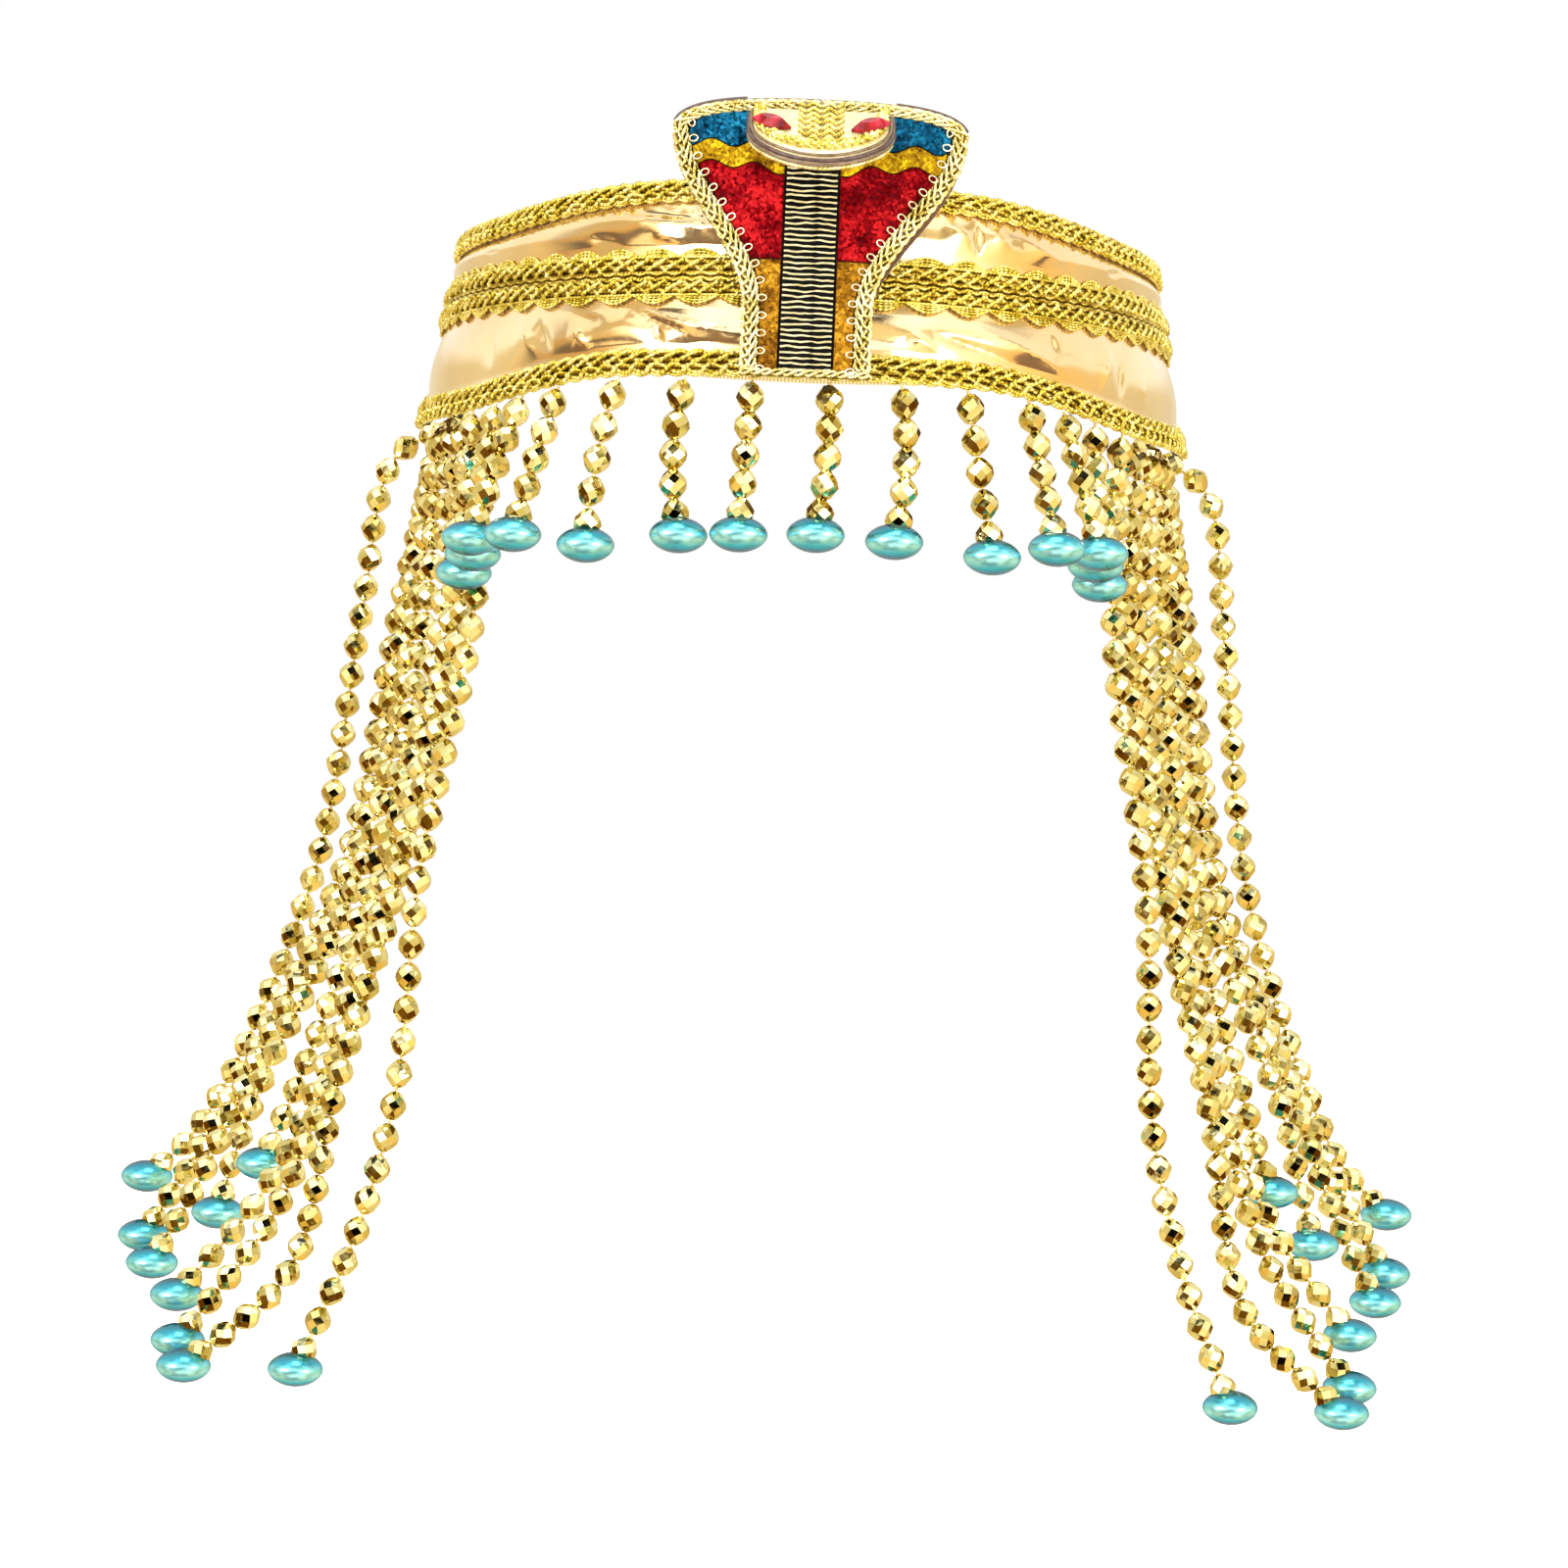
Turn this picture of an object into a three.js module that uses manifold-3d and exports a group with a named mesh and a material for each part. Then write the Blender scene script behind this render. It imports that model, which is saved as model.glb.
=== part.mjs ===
// Beaded egyptian headdress: a gold cloth band with braid trims, a cobra at the front,
// a short bead fringe and long bead strands at both sides.
// Millimetres, +Z up, front towards -Y. The origin is the centre of the head ring,
// on the plane of the band's lower edge.

import * as THREE from 'three';
import { mergeVertices } from 'three/addons/utils/BufferGeometryUtils.js';
import Module from 'manifold-3d';

// The head ring is an ellipse that narrows towards the top. Angles start at the front centre.
const RING_HALF_WIDTH = 82;
const RING_HALF_DEPTH = 104;
const RING_TOP_INSET = 7.2;
const BAND_HEIGHT = 38.4;
const BAND_WALL = 1.5;
const BAND_END_ANGLE = 110;
const BAND_COLUMNS = 50;
const GAP = 0.3;

// The upper edge stands a little higher at the front. Both edges hang lower at the sides than at the front.
const TOP_FRONT_RISE = 1.8;
const FALL_START_ANGLE = 24;
const FALL_END_ANGLE = 62;
const LOWER_FALL = 6;
const UPPER_FALL = 3;

// Behind the ears the lower edge is cut on a slant, up to the band's ends.
const SLANT_START_ANGLE = 85;
const SLANT_RISE = 13.5;

// Braids sewn round the band: the height each one covers.
const BRAID_THICKNESS = 1.8;
const BAND_BRAIDS = [
  { name: 'bottom_braid', low: 0, high: 6, edge: lowerEdge },
  { name: 'middle_braid_lower', low: 14.2, high: 20, edge: () => 0 },
  { name: 'middle_braid_upper', low: 20.4, high: 26.2, edge: () => 0 },
  { name: 'top_braid', low: 33, high: BAND_HEIGHT, edge: upperEdge },
];

// Cloth puffs out between the braids, in two bare zones.
const PUFF = 0.9;
const PUFF_ROWS = 3;
const BARE_ZONES = [
  { low: 6.2, high: 14 },
  { low: 26.4, high: 32.8 },
];

// Main folds of the cloth, the same on both sides: place, slant across the zone, width, depth.
const FOLDS = [
  { zone: 0, angle: 15, slant: 5, width: 3.0, depth: 0.6 },
  { zone: 0, angle: 23, slant: 7, width: 3.5, depth: -0.7 },
  { zone: 0, angle: 32, slant: 6, width: 4.0, depth: 0.6 },
  { zone: 0, angle: 41, slant: 5, width: 3.5, depth: -0.5 },
  { zone: 1, angle: 17, slant: -6, width: 3.5, depth: 0.6 },
  { zone: 1, angle: 25, slant: -8, width: 3.5, depth: -0.7 },
  { zone: 1, angle: 35, slant: -6, width: 4.0, depth: 0.5 },
  { zone: 1, angle: 58, slant: -3, width: 4.0, depth: -0.4 },
];

// Elastic strap inside the band's ends, round the back of the head.
const ELASTIC_START_ANGLE = 105;
const ELASTIC_LOW = 17;
const ELASTIC_HIGH = 34;
const ELASTIC_THICKNESS = 1.2;
const ELASTIC_COLUMNS = 28;

// Cobra hood: a straight stem that flares to its widest height and rounds off above it.
const HOOD_CLEARANCE = 2.7;
const HOOD_THICKNESS = 1.6;
const HOOD_BEND_RADIUS = 120;
const HOOD_FORWARD_CURL = 0.02;
const STEM_HALF_WIDTH = 12.9;
const HOOD_HALF_WIDTH = 29.2;
const FLARE_START = 13.8;
const HOOD_WIDEST = 48.3;
const HOOD_TOP = 55.2;
const HOOD_ROUNDING = 3;
const HOOD_LEAN = 1.3;
const SLOPE_STEP = 0.5;
const HOOD_ROWS = 14;
const HOOD_ROW_SPREAD = 0.9;
const HOOD_COLUMNS = 4;

// Cloth pieces on the hood, from the stem's foot upwards.
const PANEL_BACK = HOOD_THICKNESS + GAP;
const PANEL_THICKNESS = 0.9;
const HOOD_BRAID_WIDTH = 3.5;
const HOOD_BRAID_STEPS = 30;
const HOOD_BRAID_END_TURN = 84;
const BELLY_HALF_WIDTH = 5.3;
const BELLY_THICKNESS = 1.5;
const BELLY_TOP = 41;
const BELLY_COLUMNS = 2;
const PANEL_FOOT = 0.6;
const PANEL_COLUMNS = 5;
const PANELS = [
  { name: 'orange_panel', low: PANEL_FOOT, high: 23.1, rows: 4, color: 0xc07a14, roughness: 0.8 },
  { name: 'red_panel', low: 23.4, high: 42.1, rows: 6, color: 0xb8001c, roughness: 0.7 },
  { name: 'yellow_stripe', low: 42.4, high: 46.3, rows: 2, color: 0xe8c413, roughness: 0.6 },
  { name: 'blue_panel', low: 46.6, high: 50.4, rows: 3, color: 0x0b5f8c, roughness: 0.7 },
];
const STRIPE_WAVE = 0.55;
const STRIPE_WAVE_LENGTH = 9;

// Cobra head: a padded flap that leans forward and down from the hood's top.
const HEAD_HALF_WIDTH = 14.2;
const HEAD_LENGTH = 16;
const HEAD_STRAIGHT = 5;
const HEAD_RIM = 3.2;
const HEAD_PUFF = 1.2;
const HEAD_DROP = 0.68;
const HEAD_TOP = 53.9;
const HEAD_ROWS = 8;
const HEAD_ROW_SPREAD = 0.7;
const HEAD_COLUMNS = 8;
const HEAD_BRAID_HALF_WIDTH = 4.6;
const HEAD_BRAID_LENGTH = 11.5;
const HEAD_BRAID_THICKNESS = 0.9;
const HEAD_BRAID_COLUMNS = 4;
const HEAD_BRAID_ROWS = 6;
const EYE_LENGTH = 7.2;
const EYE_WIDTH = 2.6;
const EYE_HEIGHT = 0.6;
const EYE_BEVEL = 0.5;
const EYE_FORWARD = 7.6;
const EYE_SIDE = 9.4;
const EYE_TURN = 20;
const EYE_SEGMENTS = 5;

// Beads and pearls.
const BEAD_RADIUS = 2.9;
const BEAD_SIDES = 4;
const THREAD_RADIUS = 0.6;
const FIRST_BEAD = 3.8;
const LAST_BEAD_TO_PEARL = 4.6;
const PEARL_RADIUS = 5.7;
const PEARL_HALF_HEIGHT = 4.1;
const PEARL_SEGMENTS = 8;
const PEARL_RINGS = 4;
const SEW_DROP = 0.4;

// Fringe strands from left to right: the angle where each is sewn on, its pearl's place
// and how far its middle bows sideways.
const FRINGE_BEADS = 5;
const FRINGE_OUT = 0.8;
const FRINGE_COLUMNS = ['angle', 'pearlX', 'pearlY', 'pearlZ', 'bow'];
const FRINGE_ROWS = [
  [-54.2, -68.7, -61, -39.2, 0],
  [-48.7, -66.2, -72.5, -35.8, 0],
  [-43.2, -66.1, -84, -33.2, 0],
  [-36.5, -57, -92.5, -32.5, 0],
  [-26.6, -42.1, -98, -34.3, -1],
  [-16.5, -23.6, -103, -31.9, -1.7],
  [-7.1, -11.7, -106, -31.4, 0],
  [3.4, 3.5, -106, -30.9, 1],
  [13.5, 19.1, -103, -31.5, 1.6],
  [23.2, 38.8, -98, -33.5, 0],
  [33, 51.9, -92.5, -31, 0],
  [39.3, 61.1, -84, -31.1, 0],
  [45.6, 61.1, -72.5, -33, 0],
  [52, 62.9, -61, -36.4, 0],
];

// Side strands from the back to the front: the angle where each is sewn on, how far its top springs
// outwards, its distance from the middle at three heights, its last bend and its pearl.
// They are threaded by hand, so the beads' spacing differs from strand to strand.
const SIDE_PITCH = 6.45;
const PITCH_SPREAD = 0.3;
const PITCH_TURN = 2.4;
const SIDE_OUT = -4;
const SIDE_STRAIGHT = 3;
const SIDE_NECK_SHARE = 0.27;
const SIDE_NECK_Z = -11;
const SIDE_UPPER_Z = -45;
const SIDE_MIDDLE_Z = -101;
const SIDE_LOWER_Z = -148;
const SIDE_END_BACK = 18;
const SIDE_END_STEP = 10;
const SIDE_COLUMNS = ['angle', 'spring', 'upper', 'middle', 'lower', 'bendX', 'bendZ', 'endX', 'endZ'];
const SIDE_ROWS = [
  [100, 9, 96.8, 104.3, 121, 130.4, -164.5, 139.9, -173.9],
  [95, 0, 87.7, 97.2, 117.6, 129.3, -170.2, 138.7, -186.1],
  [90, 0, 85.4, 94.6, 115, 126.1, -173.6, 135.3, -191],
  [85, 0, 82.2, 91.5, 111, 115.9, -162, 120.1, -178.4],
  [80, 0, 79.3, 88, 102.4, 106, -157.2, 109.6, -166.5],
  [75, 0, 75.3, 85, 97.3, 109, -173, 125.7, -194.3],
  [70, 0, 72.5, 82.6, 94.8, 105, -176, 123.8, -202.7],
  [65, 0, 69.8, 80.1, 91.9, 100, -186.3, 121.1, -206.7],
  [60, 0, 66.7, 75.7, 78.6, 86.2, -179, 96.7, -205.2],
];

const SIDES = [
  { name: 'left', sign: -1 },
  { name: 'right', sign: 1 },
];

const lame = new THREE.MeshStandardMaterial({ color: 0xe9c98f, roughness: 0.3, metalness: 0.8 });
const goldBraid = new THREE.MeshStandardMaterial({ color: 0xc9a227, roughness: 0.5, metalness: 0.6 });
const goldBead = new THREE.MeshStandardMaterial({ color: 0xe0b030, roughness: 0.2, metalness: 0.9 });
const elastic = new THREE.MeshStandardMaterial({ color: 0xd8c08a, roughness: 0.8, metalness: 0 });
const hoodFelt = new THREE.MeshStandardMaterial({ color: 0x8f6f2c, roughness: 0.8, metalness: 0 });
const ribbing = new THREE.MeshStandardMaterial({ color: 0xd9c887, roughness: 0.5, metalness: 0.4 });
const headCloth = new THREE.MeshStandardMaterial({ color: 0xf0dca8, roughness: 0.4, metalness: 0.4 });
const redGem = new THREE.MeshStandardMaterial({ color: 0xc8102e, roughness: 0.1, metalness: 0 });

const radians = THREE.MathUtils.degToRad;
const clamp = THREE.MathUtils.clamp;
const headdress = new THREE.Group();
const wasm = await Module();
wasm.setup();

// A point on the head ring at an angle and a height, moved out of its surface.
function ringPoint(angle, height, out) {
  const inset = RING_TOP_INSET * height / BAND_HEIGHT;
  const across = RING_HALF_WIDTH - inset;
  const along = RING_HALF_DEPTH - inset;
  const turn = radians(angle);
  const outward = new THREE.Vector3(along * Math.sin(turn), -across * Math.cos(turn), 0).normalize();
  const point = new THREE.Vector3(across * Math.sin(turn), -along * Math.cos(turn), height);
  return point.addScaledVector(outward, out);
}

// How far from 0 to 1 the slant behind the ears has come at an angle.
function slantShare(angle) {
  const share = (Math.abs(angle) - SLANT_START_ANGLE) / (BAND_END_ANGLE - SLANT_START_ANGLE);
  return clamp(share, 0, 1);
}

// How far from 0 to 1 the edges have fallen at an angle.
function fallShare(angle) {
  return THREE.MathUtils.smoothstep(Math.abs(angle), FALL_START_ANGLE, FALL_END_ANGLE);
}

// How far the band's lower edge has risen at an angle.
function lowerEdge(angle) {
  return SLANT_RISE * slantShare(angle) - LOWER_FALL * fallShare(angle);
}

// How far the band's upper edge has risen at an angle.
function upperEdge(angle) {
  const rise = TOP_FRONT_RISE * Math.max(0, Math.cos(radians(angle))) ** 2;
  return rise - UPPER_FALL * fallShare(angle);
}

// A closed wall between a front grid and a back grid, each a function of two shares from 0 to 1.
// The front faces the side from which the first share runs to the right and the second upwards.
function closedWall(columns, rows, front, back) {
  const positions = [];
  const faces = [];
  const layer = (columns + 1) * (rows + 1);
  const at = (column, row, side) => side * layer + row * (columns + 1) + column;
  const quad = (a, b, c, d) => faces.push(a, b, c, a, c, d);
  for (const surface of [front, back]) {
    for (let row = 0; row <= rows; row += 1) {
      for (let column = 0; column <= columns; column += 1) {
        positions.push(...surface(column / columns, row / rows).toArray());
      }
    }
  }
  for (let row = 0; row < rows; row += 1) {
    for (let column = 0; column < columns; column += 1) {
      quad(at(column, row, 0), at(column + 1, row, 0), at(column + 1, row + 1, 0), at(column, row + 1, 0));
      quad(at(column, row, 1), at(column, row + 1, 1), at(column + 1, row + 1, 1), at(column + 1, row, 1));
    }
  }
  for (let column = 0; column < columns; column += 1) {
    quad(at(column, 0, 0), at(column, 0, 1), at(column + 1, 0, 1), at(column + 1, 0, 0));
    quad(at(column, rows, 0), at(column + 1, rows, 0), at(column + 1, rows, 1), at(column, rows, 1));
  }
  for (let row = 0; row < rows; row += 1) {
    quad(at(0, row, 0), at(0, row + 1, 0), at(0, row + 1, 1), at(0, row, 1));
    quad(at(columns, row, 0), at(columns, row, 1), at(columns, row + 1, 1), at(columns, row + 1, 0));
  }
  const geometry = new THREE.BufferGeometry();
  geometry.setAttribute('position', new THREE.Float32BufferAttribute(positions, 3));
  geometry.setIndex(faces);
  return geometry;
}

function addPiece(name, geometry, material) {
  const piece = new THREE.Mesh(geometry, material);
  piece.name = name;
  headdress.add(piece);
  return piece;
}

// How far the band's cloth stands out at an angle and a height: puffed zones with slanted folds.
function clothPuff(angle, height) {
  let out = 0;
  BARE_ZONES.forEach((zone, index) => {
    const share = (height - zone.low) / (zone.high - zone.low);
    if (share <= 0 || share >= 1) {
      return;
    }
    let swell = PUFF;
    for (const fold of FOLDS) {
      const offset = (Math.abs(angle) - fold.angle - fold.slant * (share - 0.5)) / fold.width;
      swell += fold.zone === index ? fold.depth * Math.exp(-offset * offset) : 0;
    }
    const slack = index === 0 ? 1 - slantShare(angle) : 1;
    out = slack * swell * Math.sin(Math.PI * share);
  });
  return out;
}

function makeBand() {
  const heights = [0];
  for (const zone of BARE_ZONES) {
    for (let row = 0; row <= PUFF_ROWS; row += 1) {
      heights.push(THREE.MathUtils.lerp(zone.low, zone.high, row / PUFF_ROWS));
    }
  }
  heights.push(BAND_HEIGHT);
  const rows = heights.length - 1;
  const surface = (out) => (across, up) => {
    const angle = THREE.MathUtils.lerp(-BAND_END_ANGLE, BAND_END_ANGLE, across);
    const height = heights[Math.round(up * rows)];
    const [lowZone, highZone] = BARE_ZONES;
    const lift = lowerEdge(angle) * clamp((lowZone.high - height) / (lowZone.high - lowZone.low), 0, 1);
    const stretch = upperEdge(angle) * clamp((height - highZone.low) / (highZone.high - highZone.low), 0, 1);
    return ringPoint(angle, height + lift + stretch, clothPuff(angle, height) + out);
  };
  addPiece('band', closedWall(BAND_COLUMNS, rows, surface(0), surface(-BAND_WALL)), lame);
}

function makeBandBraid(braid) {
  const surface = (out) => (across, up) => {
    const angle = THREE.MathUtils.lerp(-BAND_END_ANGLE, BAND_END_ANGLE, across);
    const height = THREE.MathUtils.lerp(braid.low, braid.high, up) + braid.edge(angle);
    return ringPoint(angle, height, out);
  };
  const wall = closedWall(BAND_COLUMNS, 1, surface(GAP + BRAID_THICKNESS), surface(GAP));
  addPiece(braid.name, wall, goldBraid);
}

function makeBackElastic() {
  const surface = (out) => (across, up) => {
    const angle = THREE.MathUtils.lerp(ELASTIC_START_ANGLE, 360 - ELASTIC_START_ANGLE, across);
    return ringPoint(angle, THREE.MathUtils.lerp(ELASTIC_LOW, ELASTIC_HIGH, up), out);
  };
  const outside = -BAND_WALL - GAP;
  const wall = closedWall(ELASTIC_COLUMNS, 1, surface(outside), surface(outside - ELASTIC_THICKNESS));
  addPiece('back_elastic', wall, elastic);
}

// Half the width of a rounded top, set in from the hood's edge, at a height above the widest one.
function roundedHalfWidth(height, inset) {
  const share = Math.min((height - HOOD_WIDEST) / (HOOD_TOP - inset - HOOD_WIDEST), 1);
  return (HOOD_HALF_WIDTH - inset) * (1 - share ** HOOD_ROUNDING) ** (1 / HOOD_ROUNDING);
}

// Half the hood's width at a height: straight stem, smooth flare, rounded top.
function hoodHalfWidth(height) {
  if (height > HOOD_WIDEST) {
    return roundedHalfWidth(height, 0);
  }
  const flare = THREE.MathUtils.smoothstep(height, FLARE_START, HOOD_WIDEST);
  return THREE.MathUtils.lerp(STEM_HALF_WIDTH, HOOD_HALF_WIDTH, flare);
}

// Half the width left for cloth inside the braid, which is measured square to the hood's slanting edge.
function clothHalfWidth(height) {
  const inset = HOOD_BRAID_WIDTH + 2 * GAP;
  if (height > HOOD_WIDEST) {
    return roundedHalfWidth(height, inset);
  }
  const slope = (hoodHalfWidth(height + SLOPE_STEP) - hoodHalfWidth(height - SLOPE_STEP)) / (2 * SLOPE_STEP);
  return hoodHalfWidth(height) - inset * Math.hypot(1, slope);
}

// The hood leans a little to one side as it rises.
function hoodCentre(height) {
  return HOOD_LEAN * THREE.MathUtils.smoothstep(height, FLARE_START, HOOD_WIDEST);
}

// A point on the hood's back, moved forward. The hood leans back with the band and curls forward above it.
function hoodPoint(x, height, forward) {
  const lean = RING_TOP_INSET * height / BAND_HEIGHT;
  const curl = HOOD_FORWARD_CURL * Math.max(0, height - BAND_HEIGHT) ** 2;
  const bend = x * x / (2 * HOOD_BEND_RADIUS);
  const y = -RING_HALF_DEPTH - HOOD_CLEARANCE + lean + bend - curl;
  return new THREE.Vector3(x, y - forward, height);
}

function makeHood() {
  const surface = (forward) => (across, up) => {
    const height = (HOOD_TOP - GAP) * Math.sin(up * Math.PI / 2) ** HOOD_ROW_SPREAD;
    const x = hoodCentre(height) + hoodHalfWidth(height) * (2 * across - 1);
    return hoodPoint(x, height, forward);
  };
  addPiece('cobra_hood', closedWall(HOOD_COLUMNS, HOOD_ROWS, surface(HOOD_THICKNESS), surface(0)), hoodFelt);
}

function makeBelly() {
  const surface = (forward) => (across, up) => {
    const x = BELLY_HALF_WIDTH * (2 * across - 1);
    return hoodPoint(x, THREE.MathUtils.lerp(PANEL_FOOT, BELLY_TOP, up), forward);
  };
  const front = surface(PANEL_BACK + BELLY_THICKNESS);
  const wall = closedWall(BELLY_COLUMNS, HOOD_ROWS, front, surface(PANEL_BACK));
  addPiece('belly_ribbing', wall, ribbing);
}

// The seams below and above the yellow stripe are wavy.
function stripeWave(x, height) {
  const [, red, , blue] = PANELS;
  const rise = THREE.MathUtils.smoothstep(height, red.low, red.high);
  const fall = 1 - THREE.MathUtils.smoothstep(height, blue.low, blue.high);
  return rise * fall * STRIPE_WAVE * Math.sin(2 * Math.PI * x / STRIPE_WAVE_LENGTH);
}

function makePanel(panel, side) {
  const { color, roughness } = panel;
  const material = new THREE.MeshStandardMaterial({ color, roughness, metalness: 0 });
  const surface = (forward) => (across, up) => {
    const height = THREE.MathUtils.lerp(panel.low, panel.high, up);
    const inner = BELLY_HALF_WIDTH + GAP;
    const outer = clothHalfWidth(height) + side.sign * hoodCentre(height);
    const share = side.sign > 0 ? across : 1 - across;
    const x = THREE.MathUtils.lerp(inner, outer, share);
    return hoodPoint(side.sign * x, height + stripeWave(x, height), forward);
  };
  const front = surface(PANEL_BACK + PANEL_THICKNESS);
  const wall = closedWall(PANEL_COLUMNS, panel.rows, front, surface(PANEL_BACK));
  addPiece(`${panel.name}_${side.name}`, wall, material);
}

// The hood's outline on one side, from the stem's foot to the top, as distance from its middle and height.
function hoodOutline() {
  const points = [];
  for (let step = 0; step < HOOD_BRAID_STEPS; step += 1) {
    const height = PANEL_FOOT + (HOOD_WIDEST - PANEL_FOOT) * step / HOOD_BRAID_STEPS;
    points.push(new THREE.Vector2(hoodHalfWidth(height), height));
  }
  for (let step = 0; step <= HOOD_BRAID_STEPS; step += 1) {
    const turn = radians(HOOD_BRAID_END_TURN * step / HOOD_BRAID_STEPS);
    const power = 2 / HOOD_ROUNDING;
    const x = HOOD_HALF_WIDTH * Math.cos(turn) ** power;
    const height = HOOD_WIDEST + (HOOD_TOP - HOOD_WIDEST) * Math.sin(turn) ** power;
    points.push(new THREE.Vector2(x, height));
  }
  return new THREE.SplineCurve(points);
}

function makeHoodBraid(side) {
  const outline = hoodOutline();
  const surface = (forward) => (across, along) => {
    const edge = outline.getPointAt(along);
    const tangent = outline.getTangentAt(along);
    const share = side.sign > 0 ? 1 - across : across;
    const inward = new THREE.Vector2(-tangent.y, tangent.x).multiplyScalar(HOOD_BRAID_WIDTH * share);
    const point = edge.add(inward);
    const x = side.sign * point.x + hoodCentre(point.y);
    return hoodPoint(x, point.y, forward);
  };
  const wall = closedWall(1, HOOD_BRAID_STEPS, surface(PANEL_BACK + BRAID_THICKNESS), surface(PANEL_BACK));
  addPiece(`hood_braid_${side.name}`, wall, goldBraid);
}

// Half the head's width at a distance forward: straight sides, then a round end.
function headHalfWidth(forward) {
  const share = Math.max(0, forward - HEAD_STRAIGHT) / (HEAD_LENGTH - HEAD_STRAIGHT);
  return HEAD_HALF_WIDTH * Math.sqrt(1 - share * share);
}

// A point above the head's top face, at a distance forward of the hood.
function headPoint(x, forward, above) {
  const start = hoodPoint(0, HEAD_TOP, PANEL_BACK + BRAID_THICKNESS + GAP);
  const side = x / HEAD_HALF_WIDTH;
  const end = forward / HEAD_LENGTH;
  const puff = HEAD_PUFF * Math.max(0, 1 - side * side) * Math.max(0, 1 - end * end);
  const height = HEAD_TOP - HEAD_DROP * forward + puff + above;
  return new THREE.Vector3(x + HOOD_LEAN, start.y - forward, height);
}

function makeHead() {
  const tip = HEAD_LENGTH - GAP / 2;
  const surface = (above) => (across, back) => {
    const forward = tip * (1 - back) ** HEAD_ROW_SPREAD;
    return headPoint(headHalfWidth(forward) * (2 * across - 1), forward, above);
  };
  const head = closedWall(HEAD_COLUMNS, HEAD_ROWS, surface(-HEAD_PUFF), surface(-HEAD_PUFF - HEAD_RIM));
  addPiece('cobra_head', head, headCloth);
  const braidSurface = (above) => (across, back) => {
    const x = HEAD_BRAID_HALF_WIDTH * (2 * across - 1);
    return headPoint(x, HEAD_BRAID_LENGTH * (1 - back) + GAP, above);
  };
  const over = GAP - HEAD_PUFF;
  const upper = braidSurface(over + HEAD_BRAID_THICKNESS);
  const braid = closedWall(HEAD_BRAID_COLUMNS, HEAD_BRAID_ROWS, upper, braidSurface(over));
  addPiece('head_braid', braid, goldBraid);
}

// A pointed oval gem lying on the head's slope, its outer end higher.
function makeEye(side) {
  const half = EYE_LENGTH / 2;
  const outline = new THREE.Shape();
  outline.moveTo(-half, 0);
  outline.quadraticCurveTo(0, -EYE_WIDTH, half, 0);
  outline.quadraticCurveTo(0, EYE_WIDTH, -half, 0);
  const geometry = new THREE.ExtrudeGeometry(outline, {
    depth: EYE_HEIGHT,
    curveSegments: EYE_SEGMENTS,
    bevelThickness: EYE_BEVEL,
    bevelSize: EYE_BEVEL,
    bevelOffset: -EYE_BEVEL,
    bevelSegments: 1,
  });
  const eye = addPiece(`eye_${side.name}`, geometry, redGem);
  const seat = headPoint(side.sign * EYE_SIDE, EYE_FORWARD, 0);
  eye.position.copy(seat);
  eye.rotation.set(Math.atan(HEAD_DROP), 0, side.sign * radians(EYE_TURN));
}

// A closed tube along a curve through square rings, each at a distance along it with a radius.
function ringTube(curve, rings) {
  const length = curve.getLength();
  const positions = [];
  const faces = [];
  for (const ring of rings) {
    const share = clamp(ring.distance / length, 0, 1);
    const centre = curve.getPointAt(share);
    const tangent = curve.getTangentAt(share);
    const across = new THREE.Vector3(0, 1, 0).cross(tangent).normalize();
    const depth = new THREE.Vector3().crossVectors(tangent, across);
    for (let corner = 0; corner < BEAD_SIDES; corner += 1) {
      const turn = 2 * Math.PI * corner / BEAD_SIDES;
      const point = centre.clone();
      point.addScaledVector(across, ring.radius * Math.cos(turn));
      point.addScaledVector(depth, ring.radius * Math.sin(turn));
      positions.push(...point.toArray());
    }
  }
  const last = (rings.length - 1) * BEAD_SIDES;
  for (let row = 0; row < last; row += BEAD_SIDES) {
    for (let corner = 0; corner < BEAD_SIDES; corner += 1) {
      const next = (corner + 1) % BEAD_SIDES;
      faces.push(row + corner, row + next, row + BEAD_SIDES + next);
      faces.push(row + corner, row + BEAD_SIDES + next, row + BEAD_SIDES + corner);
    }
  }
  faces.push(0, 2, 1, 0, 3, 2);
  faces.push(last, last + 1, last + 2, last, last + 2, last + 3);
  const geometry = new THREE.BufferGeometry();
  geometry.setAttribute('position', new THREE.Float32BufferAttribute(positions, 3));
  geometry.setIndex(faces);
  return geometry;
}

function toSolid(geometry) {
  geometry.deleteAttribute('normal');
  geometry.deleteAttribute('uv');
  const merged = mergeVertices(geometry);
  const vertProperties = new Float32Array(merged.attributes.position.array);
  const triVerts = new Uint32Array(merged.index.array);
  return new wasm.Manifold(new wasm.Mesh({ numProp: 3, vertProperties, triVerts }));
}

function joined(first, second) {
  const mesh = toSolid(first).add(toSolid(second)).getMesh();
  const geometry = new THREE.BufferGeometry();
  geometry.setAttribute('position', new THREE.BufferAttribute(mesh.vertProperties, 3));
  geometry.setIndex(new THREE.BufferAttribute(mesh.triVerts, 1));
  return geometry;
}

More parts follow.
